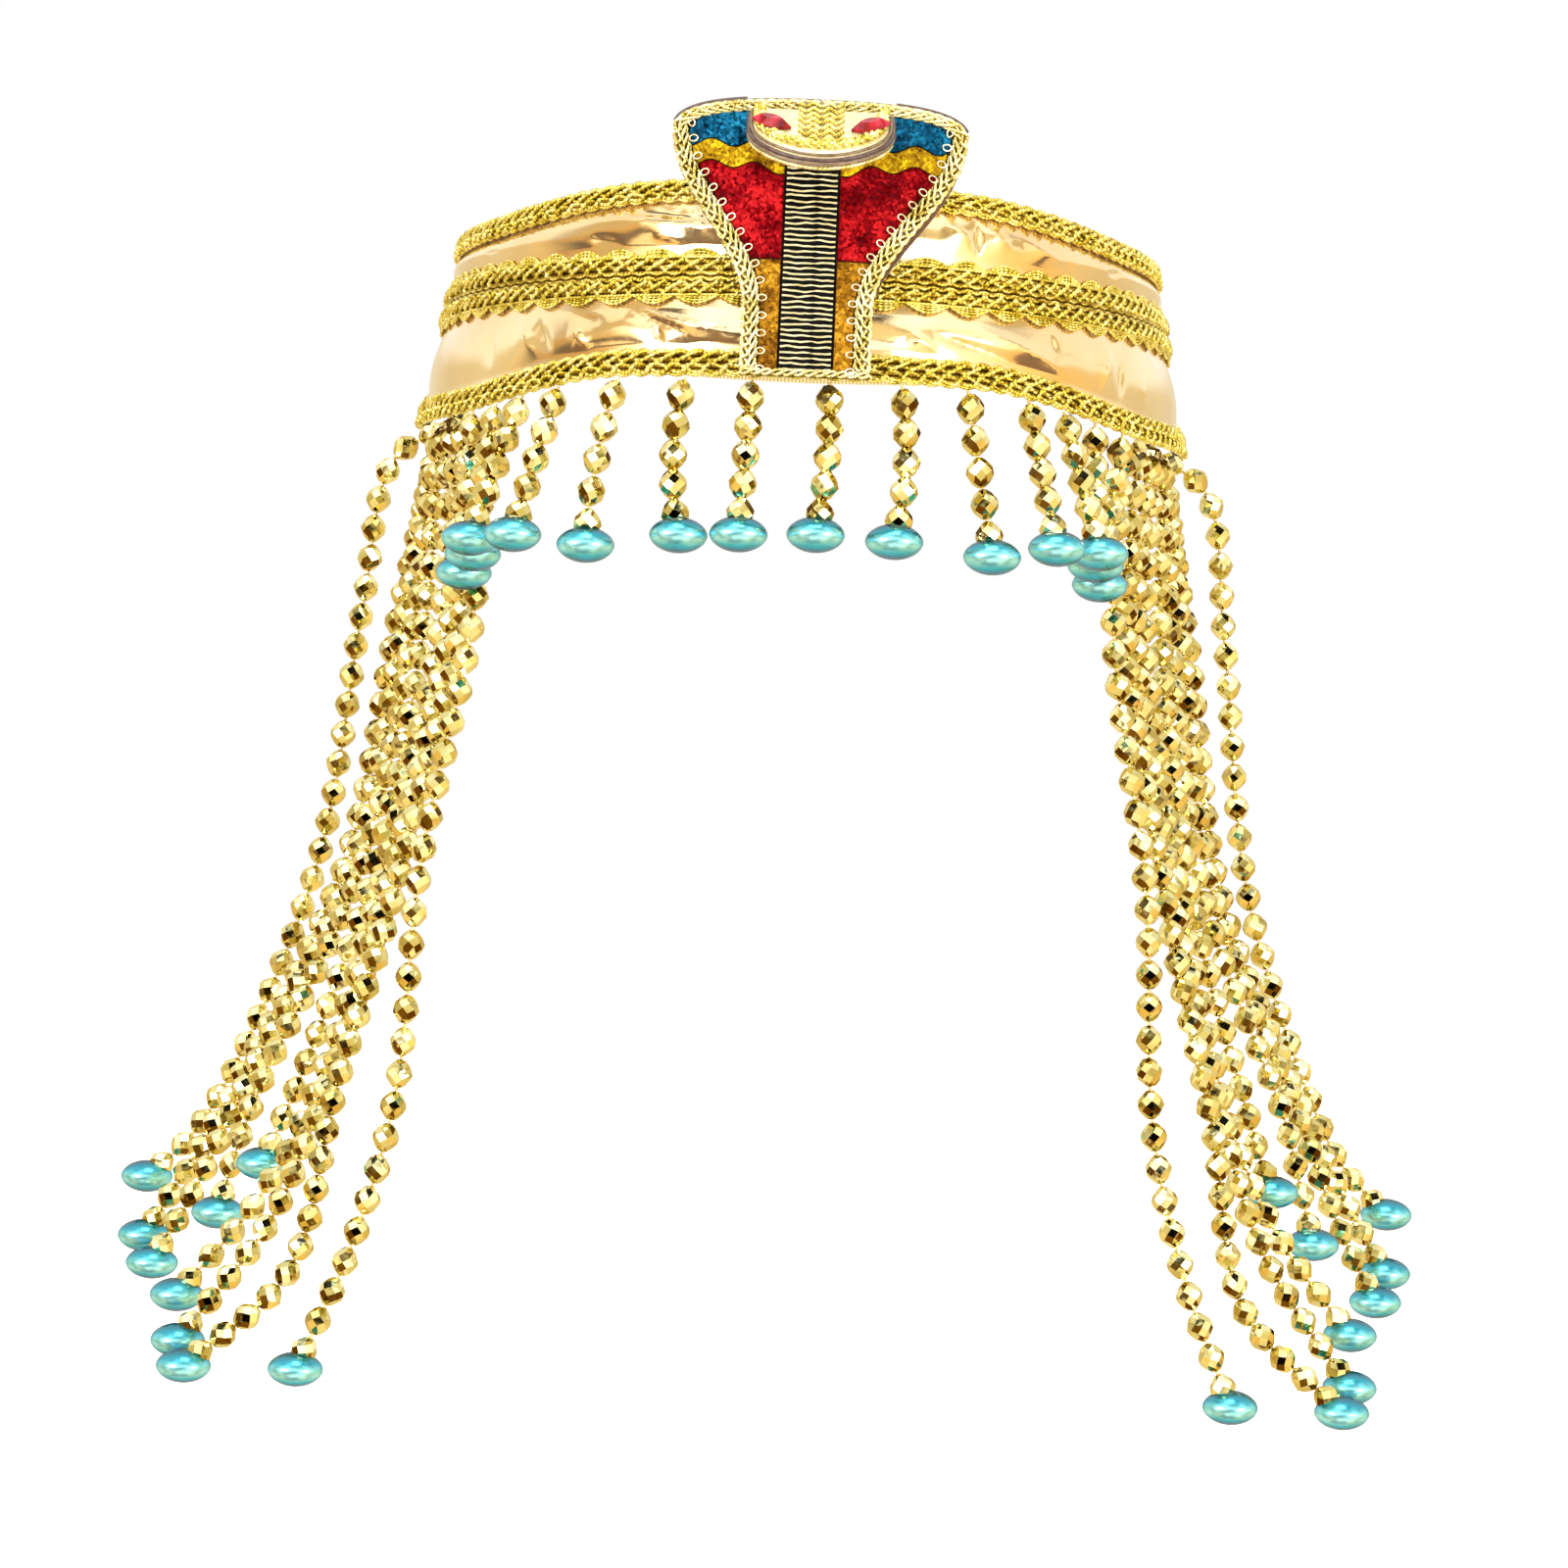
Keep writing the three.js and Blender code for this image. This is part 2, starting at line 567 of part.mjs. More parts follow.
// Beads on their thread along a curve, with a pearl at the curve's end, all in one solid.
function makeStrand(name, curve, beads) {
  const length = curve.getLength();
  const pitch = (length - FIRST_BEAD - LAST_BEAD_TO_PEARL) / (beads - 1);
  const rings = [{ distance: 0, radius: THREAD_RADIUS }];
  for (let bead = 0; bead < beads; bead += 1) {
    const distance = FIRST_BEAD + pitch * bead;
    rings.push({ distance: distance - pitch / 2, radius: THREAD_RADIUS });
    rings.push({ distance, radius: BEAD_RADIUS });
  }
  rings.push({ distance: length - THREAD_RADIUS, radius: THREAD_RADIUS });
  const pearl = new THREE.SphereGeometry(1, PEARL_SEGMENTS, PEARL_RINGS);
  pearl.rotateX(Math.PI / 2);
  pearl.scale(PEARL_RADIUS, PEARL_RADIUS, PEARL_HALF_HEIGHT);
  const end = curve.getPointAt(1);
  pearl.translate(end.x, end.y, end.z);
  addPiece(name, joined(ringTube(curve, rings), pearl), goldBead);
}

// The place where a strand is sewn to the band's lower edge.
function sewnPoint(angle, out) {
  return ringPoint(angle, lowerEdge(angle) - SEW_DROP, out);
}

// A table row with its columns' names.
function named(columns, values) {
  return Object.fromEntries(columns.map((column, place) => [column, values[place]]));
}

function makeFringe() {
  FRINGE_ROWS.forEach((values, index) => {
    const row = named(FRINGE_COLUMNS, values);
    const top = sewnPoint(row.angle, FRINGE_OUT);
    const end = new THREE.Vector3(row.pearlX, row.pearlY, row.pearlZ);
    const middle = top.clone().lerp(end, 0.5);
    middle.x += 2 * row.bow;
    const name = `fringe_strand_${String(index + 1).padStart(2, '0')}`;
    makeStrand(name, new THREE.QuadraticBezierCurve3(top, middle, end), FRINGE_BEADS);
  });
}

// A side strand's way down: straight out of the edge, then through its heights to its pearl.
function sidePath(row, index, side) {
  const top = sewnPoint(side.sign * row.angle, SIDE_OUT);
  const topX = Math.abs(top.x);
  const endY = SIDE_END_BACK - SIDE_END_STEP * index;
  const neckX = THREE.MathUtils.lerp(topX, row.upper, SIDE_NECK_SHARE) + row.spring;
  const stations = [
    { x: topX, z: top.z },
    { x: topX, z: top.z - SIDE_STRAIGHT },
    { x: neckX, z: SIDE_NECK_Z },
    { x: row.upper, z: SIDE_UPPER_Z },
    { x: row.middle, z: SIDE_MIDDLE_Z },
    { x: row.lower, z: SIDE_LOWER_Z },
    { x: row.bendX, z: row.bendZ },
    { x: row.endX, z: row.endZ },
  ];
  const points = stations.map((station) => {
    const share = (top.z - station.z) / (top.z - row.endZ);
    const y = THREE.MathUtils.lerp(top.y, endY, share);
    return new THREE.Vector3(side.sign * station.x, y, station.z);
  });
  return new THREE.CatmullRomCurve3(points);
}

function makeSideStrands() {
  for (const side of SIDES) {
    SIDE_ROWS.forEach((values, index) => {
      const path = sidePath(named(SIDE_COLUMNS, values), index, side);
      const pitch = SIDE_PITCH + PITCH_SPREAD * Math.cos(PITCH_TURN * index);
      const beads = Math.round((path.getLength() - FIRST_BEAD - LAST_BEAD_TO_PEARL) / pitch) + 1;
      makeStrand(`side_strand_${side.name}_${index + 1}`, path, beads);
    });
  }
}

makeBand();
BAND_BRAIDS.forEach(makeBandBraid);
makeBackElastic();
makeHood();
makeBelly();
for (const side of SIDES) {
  for (const panel of PANELS) {
    makePanel(panel, side);
  }
  makeHoodBraid(side);
  makeEye(side);
}
makeHead();
makeFringe();
makeSideStrands();

export default headdress;
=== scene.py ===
# Beaded egyptian headdress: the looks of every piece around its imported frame.
# Sizes are in millimetres, with the front towards -Y. Meshes are made in metres.

import math

import bmesh
import bpy
from mathutils import Matrix, Vector, noise


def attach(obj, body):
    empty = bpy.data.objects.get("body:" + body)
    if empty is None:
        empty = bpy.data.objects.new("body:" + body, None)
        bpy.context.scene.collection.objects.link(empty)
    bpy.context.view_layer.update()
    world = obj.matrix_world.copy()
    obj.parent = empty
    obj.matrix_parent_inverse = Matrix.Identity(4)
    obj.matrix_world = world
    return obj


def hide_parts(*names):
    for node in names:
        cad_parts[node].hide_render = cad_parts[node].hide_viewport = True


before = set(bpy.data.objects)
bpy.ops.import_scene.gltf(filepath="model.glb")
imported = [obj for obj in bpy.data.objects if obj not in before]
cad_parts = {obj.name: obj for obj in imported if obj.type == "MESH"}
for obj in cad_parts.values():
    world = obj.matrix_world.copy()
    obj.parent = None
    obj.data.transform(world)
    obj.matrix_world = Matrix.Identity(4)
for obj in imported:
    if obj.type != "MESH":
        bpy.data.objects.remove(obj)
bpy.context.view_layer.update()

MM = 0.001

# Head ring and band
RING_HALF_WIDTH = 82
RING_HALF_DEPTH = 104
RING_TOP_INSET = 7.2
BAND_HEIGHT = 38.4
BAND_FOOT = 0.8
BAND_WALL = 1.5
BAND_END_ANGLE = 110
TOP_FRONT_RISE = 1.8
FALL_START_ANGLE = 24
FALL_END_ANGLE = 62
LOWER_FALL = 6
UPPER_FALL = 3
SLANT_START_ANGLE = 85
SLANT_RISE = 13.5
RING_STEPS = 220
GAP = 0.3

# Yarns of all braids
YARN_STEPS = 20
YARN_SIDES = 5
CORD_STEPS = 5
STITCH_WAVES = 7
STITCH_THICKENING = 0.3
SCALLOP_STEP = 0.1
PLAIT_LIFT = 0.8

# Braids on the band: the heights that each one covers
EDGE_BRAID_REPEAT = 7.8
BOTTOM_BRAID_HIGH = 6
MIDDLE_LOWER = (14.2, 20)
MIDDLE_UPPER = (20.4, 26.2)
TOP_BRAID_LOW = 33
TOP_BRAID_LIFT = 0.7
TOP_BRAID_SHARE = 0.8

# Cloth of the band: two bare zones that puff out between the braids
BARE_ZONES = ((6.2, 14), (26.4, 33.4))
ZONE_ROWS = 14
HIDDEN_ROWS = 3
BAND_COLUMNS = 600
PUFF = 0.9

# Creases: zone, start and end (angle from the front, share of the zone's height), width, depth
FOLDS = (
    (0, (-53, 0.8), (-52, 0.1), 2.5, -0.5),
    (0, (-47, 0.95), (-42, 0.15), 1.8, 0.7),
    (0, (-43, 0.95), (-39, 0.15), 1.3, -0.8),
    (0, (-37, 0.98), (-30.5, 0.65), 0.8, -1),
    (0, (-36, 0.6), (-32, 0.05), 1.4, 0.8),
    (0, (-27, 0.95), (-17, 0.35), 1.2, -0.9),
    (0, (-23.5, 0.85), (-9, 0.25), 1.5, 0.9),
    (0, (-22, 0.5), (-20.5, 0.05), 1.0, -0.8),
    (0, (-17, 0.15), (-8, 0.1), 1.0, -0.6),
    (1, (-35, 0.3), (-29, 0.05), 1.2, -0.9),
    (1, (-31, 0.75), (-12, 0.4), 1.4, 0.9),
    (1, (-26, 0.95), (-17, 0.7), 1.4, -0.8),
    (1, (-18, 0.98), (-15, 0.6), 0.8, -1),
    (1, (-17, 0.95), (-8.5, 0.05), 1.3, 1),
    (1, (-24, 0.35), (-18, 0.05), 1.1, 0.7),
    (1, (-62, 0.5), (-56, 0.4), 3.0, -0.3),
    (0, (14.5, 0.5), (19, 0.1), 1.0, 0.6),
    (0, (18.5, 0.55), (31.5, 0.05), 1.1, -0.9),
    (0, (24.5, 0.8), (41, 0.1), 2.0, 0.9),
    (0, (38.6, 0.95), (38.6, 0.5), 1.5, -0.6),
    (0, (51.5, 0.9), (48.5, 0.1), 1.6, 0.8),
    (0, (54.5, 0.7), (53, 0.05), 1.3, -0.7),
    (0, (61, 0.5), (60, 0.05), 1.3, 0.5),
    (1, (20, 0.85), (25, 0.5), 1.0, 0.7),
    (1, (26, 0.95), (26, 0.1), 0.9, -1),
    (1, (27, 0.85), (31.5, 0.5), 1.0, 0.8),
    (1, (34, 0.75), (42.5, 0.2), 2.0, 0.7),
    (1, (53, 0.35), (57.5, 0.6), 1.6, -0.6),
)
FOLD_ARC = 1.66
FOLD_DEPTH = 1.25
FOLD_STEEP = 0.5
FOLD_GENTLE = 1.4
FOLD_TIP = 0.04

# Slack in the cloth, which buckles near the front and lies smooth at the sides
SLACK_GROWTH = -0.06
SLACK_FROM = 50
SLACK_TO = 66
BUCKLE_FRAMES = 10
BUCKLE_SCALE = 0.1
RIPPLE = 0.12
SIDE_RIPPLE = 0.03
RIPPLE_LENGTH = 9
RIPPLE_WIDTH = 3.5
RIPPLE_ZONE_STEP = 7

# Elastic strap behind
ELASTIC_START_ANGLE = 105
ELASTIC_LOW = 17
ELASTIC_HIGH = 34
ELASTIC_THICKNESS = 1.2
ELASTIC_RIBS = 8
ELASTIC_RIB_DEPTH = 0.18
ELASTIC_RIB_ROWS = 8
ELASTIC_COLUMNS = 150

# Cobra hood
HOOD_CLEARANCE = 2.7
HOOD_THICKNESS = 1.6
HOOD_BEND_RADIUS = 120
HOOD_FORWARD_CURL = 0.02
STEM_HALF_WIDTH = 12.9
HOOD_HALF_WIDTH = 29.2
FLARE_START = 13.8
HOOD_WIDEST = 48.3
HOOD_TOP = 55.2
HOOD_ROUNDING = 3
HOOD_LEAN = 1.3
HOOD_COLUMNS = 20
HOOD_ROWS = 60
HOOD_ROW_EASING = 0.9
# The felt's dark edge beside the right of the flare, partly a painted shadow line: its width and the
# heights it spans
FELT_EDGE_SHADOW = 1.1
FELT_EDGE_SHADOW_HEIGHTS = (16, 42)
PANEL_BACK = HOOD_THICKNESS + GAP
PANEL_FOOT = 0.6
PANEL_THICKNESS = 0.9
PANEL_PUFF = 0.25
PANEL_COLUMNS = 24
PANEL_ROWS = 20

# Braids on the hood: along its outline, with picots up to its crown and piping on the crown
HOOD_LINE_STEPS = 90
CROWN_LINE_STEPS = 60
CROWN_START = HOOD_WIDEST + 2
HOOD_BRAID_WIDTH = 3.5
HOOD_BRAID_REPEAT = 4.4
TOP_NARROWING = 0.6
NARROWING_HEIGHTS = (HOOD_WIDEST - 2, HOOD_TOP - 1)
PICOT_PITCH = 3.3
PICOT_FORWARD = 0.4
PICOT_INSET = 0.5
PICOT_HALF_LENGTH = 0.88
PICOT_ROUNDNESS = 0.72
PICOT_YARN_RADIUS = 0.18
PICOT_STEPS = 12
PIPING_INSET = 0.2
PIPING_END = HOOD_TOP - 0.4
PIPING_REPEATS = 12
FOOT_BRAID_HEIGHT = 0.2
FOOT_BRAID_STEPS = 20

# Belly ribbing
BELLY_HALF_WIDTH = 5.3
BELLY_TOP = 43.4
BELLY_GROUND = 0.8
BELLY_COLUMNS = 12
BELLY_ROWS = 40
RIB_COUNT = 38
RIB_RADIUS = 0.215
RIB_RISE = 0.6 * RIB_RADIUS
RIB_START = PANEL_FOOT + 0.6
RIB_END = BELLY_TOP - 0.4
RIB_HALF_WIDTH = BELLY_HALF_WIDTH - 0.25
RIB_WAVER = 0.9
RIB_WAVER_LENGTH = 3.2
RIB_WAVER_STEP = 0.6
RIB_SEAM = 1.1
RIB_SEAM_WIDTH = 0.45
RIB_PINCH = 0.5
RIB_STEPS = 25
RIB_SIDES = 8

# Cloth panels on the hood: name, lower and upper height, the cloth that it takes
PANELS = (
    ("orange_panel", PANEL_FOOT, 23.1, "orange_cloth"),
    ("red_panel", 23.4, 42.1, "red_cloth"),
    ("yellow_stripe", 42.4, 46.3, "yellow_cloth"),
    ("blue_panel", 46.6, 52.4, "blue_cloth"),
)
SMALLEST_SHEET = 10
STRIPE_WAVE = 0.8
STRIPE_FALL = 1.2
STRIPE_WAVE_LENGTH = 9

# Cobra head
HEAD_HALF_WIDTH = 14.2
HEAD_LENGTH = 16
HEAD_STRAIGHT = 5
HEAD_RIM = 3.2
HEAD_PUFF = 1.2
HEAD_DROP = 0.68
HEAD_TOP = 53.9
HEAD_FRONT = 4.0
HEAD_SLOPE = Vector((0, -HEAD_DROP, 1)).normalized()
HEAD_STEPS = 40
HEAD_SIDE_STEPS = 6

# The head's pad: rings as shares of its outline round a middle, how its edge rounds and its crown rises
PAD_MIDDLE = (0, 6)
PAD_SHARES = (1, 0.985, 0.95, 0.9, 0.82, 0.7, 0.55, 0.38, 0.2, 0.06)
PAD_EDGE_POWER = 8
PAD_CROWN = 0.6
PAD_CROWN_POWER = 4

# Stitches down the head: each column's middle and reach, their rows, and dark yarns under them as painted
# shade
HEAD_STITCH_COLUMNS = ((-3, 1.3), (0, 1.6), (3, 1.3))
HEAD_STITCH_ROWS = 7
HEAD_STITCH_START = 1
HEAD_STITCH_END = HEAD_LENGTH - 4
HEAD_STITCH_SLOPE = 1.5
HEAD_STITCH_RADIUS = 0.42
HEAD_STITCH_SINK = 0.35
HEAD_SHADE_END = HEAD_LENGTH - 2.6
HEAD_SHADE_SINK = 1.4
HEAD_SHADE_STEPS = 30
HEAD_SHADE_REPEATS = 6

# Yarns round the head's edge: piece, inset, height above the slope, radius
HEAD_PLAIT = "head_edge_plait"
HEAD_PLAIT_REPEAT = 5
HEAD_EDGES = (
    (HEAD_PLAIT, 2.0, -0.9, 0.5),
    ("lip_upper", 0.5, -1.7, 0.4),
    ("lip_mauve", 0.1, -2.4, 0.5),
    ("lip_silver", 0.0, -3.15, 0.5),
    # This black cord stands in for the shadowed gap between the silver and cream cords: painted shade.
    ("lip_black", 0.25, -3.6, 0.3),
    ("lip_cream", 0.2, -4.0, 0.42),
)

# Eyes: pointed oval gems
EYE_LENGTH = 8.6
EYE_WIDTH = 3.8
EYE_HEIGHT = 1.8
EYE_GIRDLE = 0.3
EYE_TABLE = (0.6, 0.5)
EYE_STEPS = 8
EYE_SIDE = 9.7
EYE_FORWARD = 8
EYE_SINK = 0.4
EYE_TURN = 27

# Beads, and pearls whose rims are drawn out by a power of the height
BEAD_RADIUS = 2.9
BEAD_SIDES = 7
BEAD_SHOULDER = 1.05
BEAD_NECK = 2.2
BEAD_HOLE = 0.9
BEAD_TILT = 14
THREAD_RADIUS = 0.35
THREAD_SIDES = 5
FIRST_BEAD = 3.8
LAST_BEAD_TO_PEARL = 4.2
PEARL_RADIUS = 5.8
PEARL_HALF_HEIGHT = 3.6
PEARL_EDGE = 1.1
PEARL_SEGMENTS = 28
PEARL_RINGS = 18
SEW_DROP = 0.4

# Fringe strands from left to right: angle, the pearl's place in x, y and z, sideways bow
FRINGE_BEADS = 5
FRINGE_OUT = 0.8
FRINGE_STEPS = 24
FRINGE_SEED = 10
FRINGE_ROWS = (
    (-54.2, -68.7, -61, -39.2, 0),
    (-48.7, -66.2, -72.5, -35.8, 0),
    (-43.2, -66.1, -84, -33.2, 0),
    (-36.5, -57, -92.5, -32.5, 0),
    (-26.6, -42.1, -98, -34.3, -1),
    (-16.5, -23.6, -103, -31.9, -1.7),
    (-7.1, -11.7, -106, -31.4, 0),
    (3.4, 3.5, -106, -30.9, 1),
    (13.5, 19.1, -103, -31.5, 1.6),
    (23.2, 38.8, -98, -33.5, 0),
    (33, 51.9, -92.5, -31, 0),
    (39.3, 61.1, -84, -31.1, 0),
    (45.6, 61.1, -72.5, -33, 0),
    (52, 62.9, -61, -36.4, 0),
)

# Side strands from the back to the front: angle, outward spring of the top, distance from the
# middle at three heights, last bend in x and z, pearl in x and z
SIDE_PITCH = 6.45
PITCH_SPREAD = 0.3
PITCH_TURN = 2.4
SIDE_OUT = -4
SIDE_STRAIGHT = 3
SIDE_NECK_SHARE = 0.27
SIDE_NECK_Z = -11
SIDE_HEIGHTS = (-45, -101, -148)
SIDE_END_BACK = 18
SIDE_END_STEP = 10
SIDE_STEPS = 16
SIDE_SEED = 20
SIDE_ROWS = (
    (100, 9, 96.8, 104.3, 121, 130.4, -164.5, 139.9, -173.9),
    (95, 0, 87.7, 97.2, 117.6, 129.3, -170.2, 138.7, -186.1),
    (90, 0, 85.4, 94.6, 115, 126.1, -173.6, 135.3, -191),
    (85, 0, 82.2, 91.5, 111, 115.9, -162, 120.1, -178.4),
    (80, 0, 79.3, 88, 102.4, 106, -157.2, 109.6, -166.5),
    (75, 0, 75.3, 85, 97.3, 109, -173, 125.7, -194.3),
    (70, 0, 72.5, 82.6, 94.8, 105, -176, 123.8, -202.7),
    (65, 0, 69.8, 80.1, 91.9, 100, -186.3, 121.1, -206.7),
    (60, 0, 66.7, 75.7, 78.6, 86.2, -179, 96.7, -205.2),
)
SIDES = (("left", -1), ("right", 1))

# On the right, pearls hang higher and further in, fully above the second of these heights
RIGHT_LIFT = 2.7
RIGHT_SHIFT = -1.7
RIGHT_LIFT_FADE = (-203, -187)

# Camera: level, rolled a little, as far away as the photograph's perspective tells
CAMERA_PLACE = (-0.7, -1000, -80.2)
CAMERA_ROLL = 2.35
FOCAL_PIXELS = 4630
IMAGE_PIXELS = 1600
SENSOR = 36

# Floor: its level in millimetres, its radius in metres
FLOOR_LEVEL = -300
FLOOR_RADIUS = 4
FLOOR_SIDES = 64

# Lamps, sizes in metres: distance of all, then name, angle from the camera's side, angle above level,
# size, watts
LAMP_DISTANCE = 1.2
LAMPS = (
    ("soft_box_left", -44, 8, 0.46, 9),
    ("soft_box_right", 42, 2, 0.42, 7),
    ("top_light", 0, 80, 0.6, 6),
)

# Brightness round the headdress, by angle from the camera's side, for four heights
WORLD_LOW = ((0, "#C8BC9C"), (30, "#E8DCC0"), (70, "#CCA45C"), (110, "#B8A478"), (180, "#C8C0B0"))
WORLD_LEVEL = (
    (0, "#040404"), (17, "#040404"), (20, "#F4F4F4"), (37, "#FFFFFF"), (40, "#5A4820"), (46, "#5A4820"),
    (49, "#F0F0F0"), (60, "#F0E4C8"), (76, "#DCC084"), (95, "#C8A868"), (115, "#ACA080"), (180, "#ACA490"),
)
WORLD_RISING = (
    (0, "#D0D0D0"), (18, "#FFFFFF"), (36, "#FFFFFF"), (42, "#8E8262"), (50, "#F0F0F0"), (75, "#D6CEBA"),
    (105, "#CAC6BE"), (180, "#C4C4C4"),
)
WORLD_HIGH = ((0, "#E0E0E0"), (60, "#FFFFFF"), (110, "#C0C0C0"), (180, "#D0D0D0"))
WORLD_ROWS = (WORLD_LOW, WORLD_LEVEL, WORLD_RISING, WORLD_HIGH)
WORLD_STEPS = ((-0.35, -0.15), (0.12, 0.22), (0.6, 0.8))
WORLD_STRENGTH = 2.2

# Dark gaps in the room: their pattern, and the colours that lighten them by height (0 is straight below
# and 1 straight above) and by angle (0 is the camera's side and 1 straight behind)
PATCH_SEED = 3
PATCH_SCALE = 2.2
PATCH_DISTORTION = 0.4
PATCH_LEVEL = 0.45
PATCH_EDGE = 0.03
PATCH_FREE = (
    (0.3, "#6A4A18"), (0.49, "#4A3410"), (0.53, "#C4B68E"), (0.86, "#C4B68E"), (0.9, "#000000"),
)
PATCH_BEHIND = ((0.5, "#000000"), (0.6, "#FFFFFF"))


# Small tools

def linear(colour):
    """An sRGB hex colour as linear red, green, blue and alpha."""
    shares = [int(colour[place:place + 2], 16) / 255 for place in (1, 3, 5)]
    return (*(s / 12.92 if s <= 0.04045 else ((s + 0.055) / 1.055) ** 2.4 for s in shares), 1)


def mix(low, high, share):
    return low + (high - low) * share


def clamp(value):
    return min(max(value, 0), 1)


def smooth_step(value, low, high):
    share = clamp((value - low) / (high - low))
    return share * share * (3 - 2 * share)


def per_mm(size):
    """The scale of a pattern whose features are that many millimetres wide."""
    return 1 / (size * MM)


def fill(tree, node, inputs):
    """Sets a node's inputs, by name or place, to values, to sockets or to other nodes' first outputs."""
    for place, value in inputs.items():
        if isinstance(value, bpy.types.Node):
            value = value.outputs[0]
        if isinstance(value, bpy.types.NodeSocket):
            tree.links.new(value, node.inputs[place])
        else:
            node.inputs[place].default_value = value


def add(tree, kind, inputs=None, stops=(), **settings):
    """Adds a node with its settings, values and links. A colour ramp's stops are places and hex colours."""
    node = tree.nodes.new(kind)
    for name, value in settings.items():
        setattr(node, name, value)
    fill(tree, node, inputs or {})
    for number, (place, colour) in enumerate(stops):
        elements = node.color_ramp.elements
        element = elements[number] if number < len(elements) else elements.new(place)
        element.position = place
        element.color = linear(colour)
    return node


def new_material(name, **values):
    """A material with its tree and shader, and the shader's uniform values."""
    material = bpy.data.materials.new(name)
    material.use_nodes = True
    tree = material.node_tree
    shader = tree.nodes["Principled BSDF"]
    fill(tree, shader, {name.replace("_", " "): value for name, value in values.items()})
    return material, tree, shader


# Materials

def foil_lame():
    # Gold foil pressed on thin cloth: a soft mirror, peach to gold, with a faint knit.
    material, tree, shader = new_material("foil_lame", Metallic=0.92)
    place = add(tree, "ShaderNodeTexCoord").outputs["Object"]
    drift = add(tree, "ShaderNodeTexNoise", {"Vector": place, "Scale": per_mm(24), "Detail": 2})
    ramp = add(tree, "ShaderNodeValToRGB", {0: drift}, stops=((0.3, "#E2C28C"), (0.7, "#ECD6A8")))
    # The knit is about 0.3 mm in the real cloth and is drawn at 0.7 mm so that it shows.
    knit = add(tree, "ShaderNodeTexNoise", {"Vector": place, "Scale": per_mm(0.7), "Detail": 1})
    gloss = add(tree, "ShaderNodeMapRange", {0: knit, "To Min": 0.08, "To Max": 0.18})
    bump = add(tree, "ShaderNodeBump", {"Height": knit, "Distance": 0.02 * MM, "Strength": 0.3})
    fill(tree, shader, {"Base Color": ramp, "Roughness": gloss, "Normal": bump})
    return material


def cotton_lining():
    # Plain woven cotton inside the band, with a visible thread; its matt brown is painted shade for the
    # inside.
    material, tree, shader = new_material("cotton_lining", Roughness=0.9)
    place = add(tree, "ShaderNodeTexCoord").outputs["UV"]
    # The cloth map is in millimetres, and this scale sets the threads about 0.3 mm apart.
    weave = add(tree, "ShaderNodeTexWave", {"Vector": place, "Scale": 1.1, "Distortion": 1.5})
    threads = weave.outputs["Fac"]
    ramp = add(tree, "ShaderNodeValToRGB", {0: threads}, stops=((0.0, "#3E2A0C"), (1.0, "#6A4C1E")))
    bump = add(tree, "ShaderNodeBump", {"Height": threads, "Distance": 0.1 * MM, "Strength": 0.5})
    fill(tree, shader, {"Base Color": ramp, "Normal": bump})
    return material


def metal_yarn(name, dark, middle, light):
    # Gimp yarn wrapped in metallic film: bright twisted plies, with the grooves between them darkened as
    # painted shade.
    material, tree, shader = new_material(name, Metallic=0.85)
    around = add(tree, "ShaderNodeAttribute", attribute_name="around").outputs["Vector"]
    run = add(tree, "ShaderNodeAttribute", attribute_name="run").outputs["Fac"]
    parts = add(tree, "ShaderNodeSeparateXYZ", {0: around})
    turn = add(
        tree, "ShaderNodeMath", {0: parts.outputs["Y"], 1: parts.outputs["X"]}, operation="ARCTAN2"
    )
    # Plies lie about 0.5 mm apart in the real yarn and are drawn 0.9 mm apart so that they show.
    plies = add(
        tree, "ShaderNodeMath", {0: run, 1: per_mm(0.9) * 2 * math.pi, 2: turn}, operation="MULTIPLY_ADD"
    )
    wave = add(tree, "ShaderNodeMath", {0: plies}, operation="SINE")
    place = add(tree, "ShaderNodeTexCoord").outputs["Object"]
    specks = add(tree, "ShaderNodeTexNoise", {"Vector": place, "Scale": per_mm(2.5), "Detail": 1})
    # The ply wave darkens the grooves a little, as painted shade; the specks vary the tone at random.
    mixed = add(tree, "ShaderNodeMath", {0: wave, 1: 0.1, 2: specks}, operation="MULTIPLY_ADD")
    stops = ((0.25, dark), (0.45, middle), (0.65, light))
    ramp = add(tree, "ShaderNodeValToRGB", {0: mixed}, stops=stops)
    bump = add(tree, "ShaderNodeBump", {"Height": wave, "Distance": 0.1 * MM, "Strength": 0.35})
    gloss = add(tree, "ShaderNodeMapRange", {0: specks, "To Min": 0.22, "To Max": 0.42})
    fill(tree, shader, {"Base Color": ramp, "Roughness": gloss, "Normal": bump})
    return material


def metallised_acrylic():
    # Moulded acrylic with a gold vacuum coat: clean mirror facets that waver slightly.
    material, tree, shader = new_material(
        "metallised_acrylic", Metallic=1, Coat_Weight=0.5, Specular_Tint=linear("#D8B45C")
    )
    place = add(tree, "ShaderNodeTexCoord").outputs["Object"]
    batch = add(tree, "ShaderNodeTexNoise", {"Vector": place, "Scale": per_mm(7), "Detail": 0})
    ramp = add(tree, "ShaderNodeValToRGB", {0: batch}, stops=((0.3, "#CCBC70"), (0.7, "#EEEAB4")))
    wobble = add(tree, "ShaderNodeTexNoise", {"Vector": place, "Scale": per_mm(2.5), "Detail": 1})
    bump = add(tree, "ShaderNodeBump", {"Height": wobble, "Distance": 0.12 * MM, "Strength": 0.6})
    gloss = add(tree, "ShaderNodeMapRange", {0: wobble, "To Min": 0.03, "To Max": 0.12})
    fill(tree, shader, {"Base Color": ramp, "Roughness": gloss, "Normal": bump})
    return material


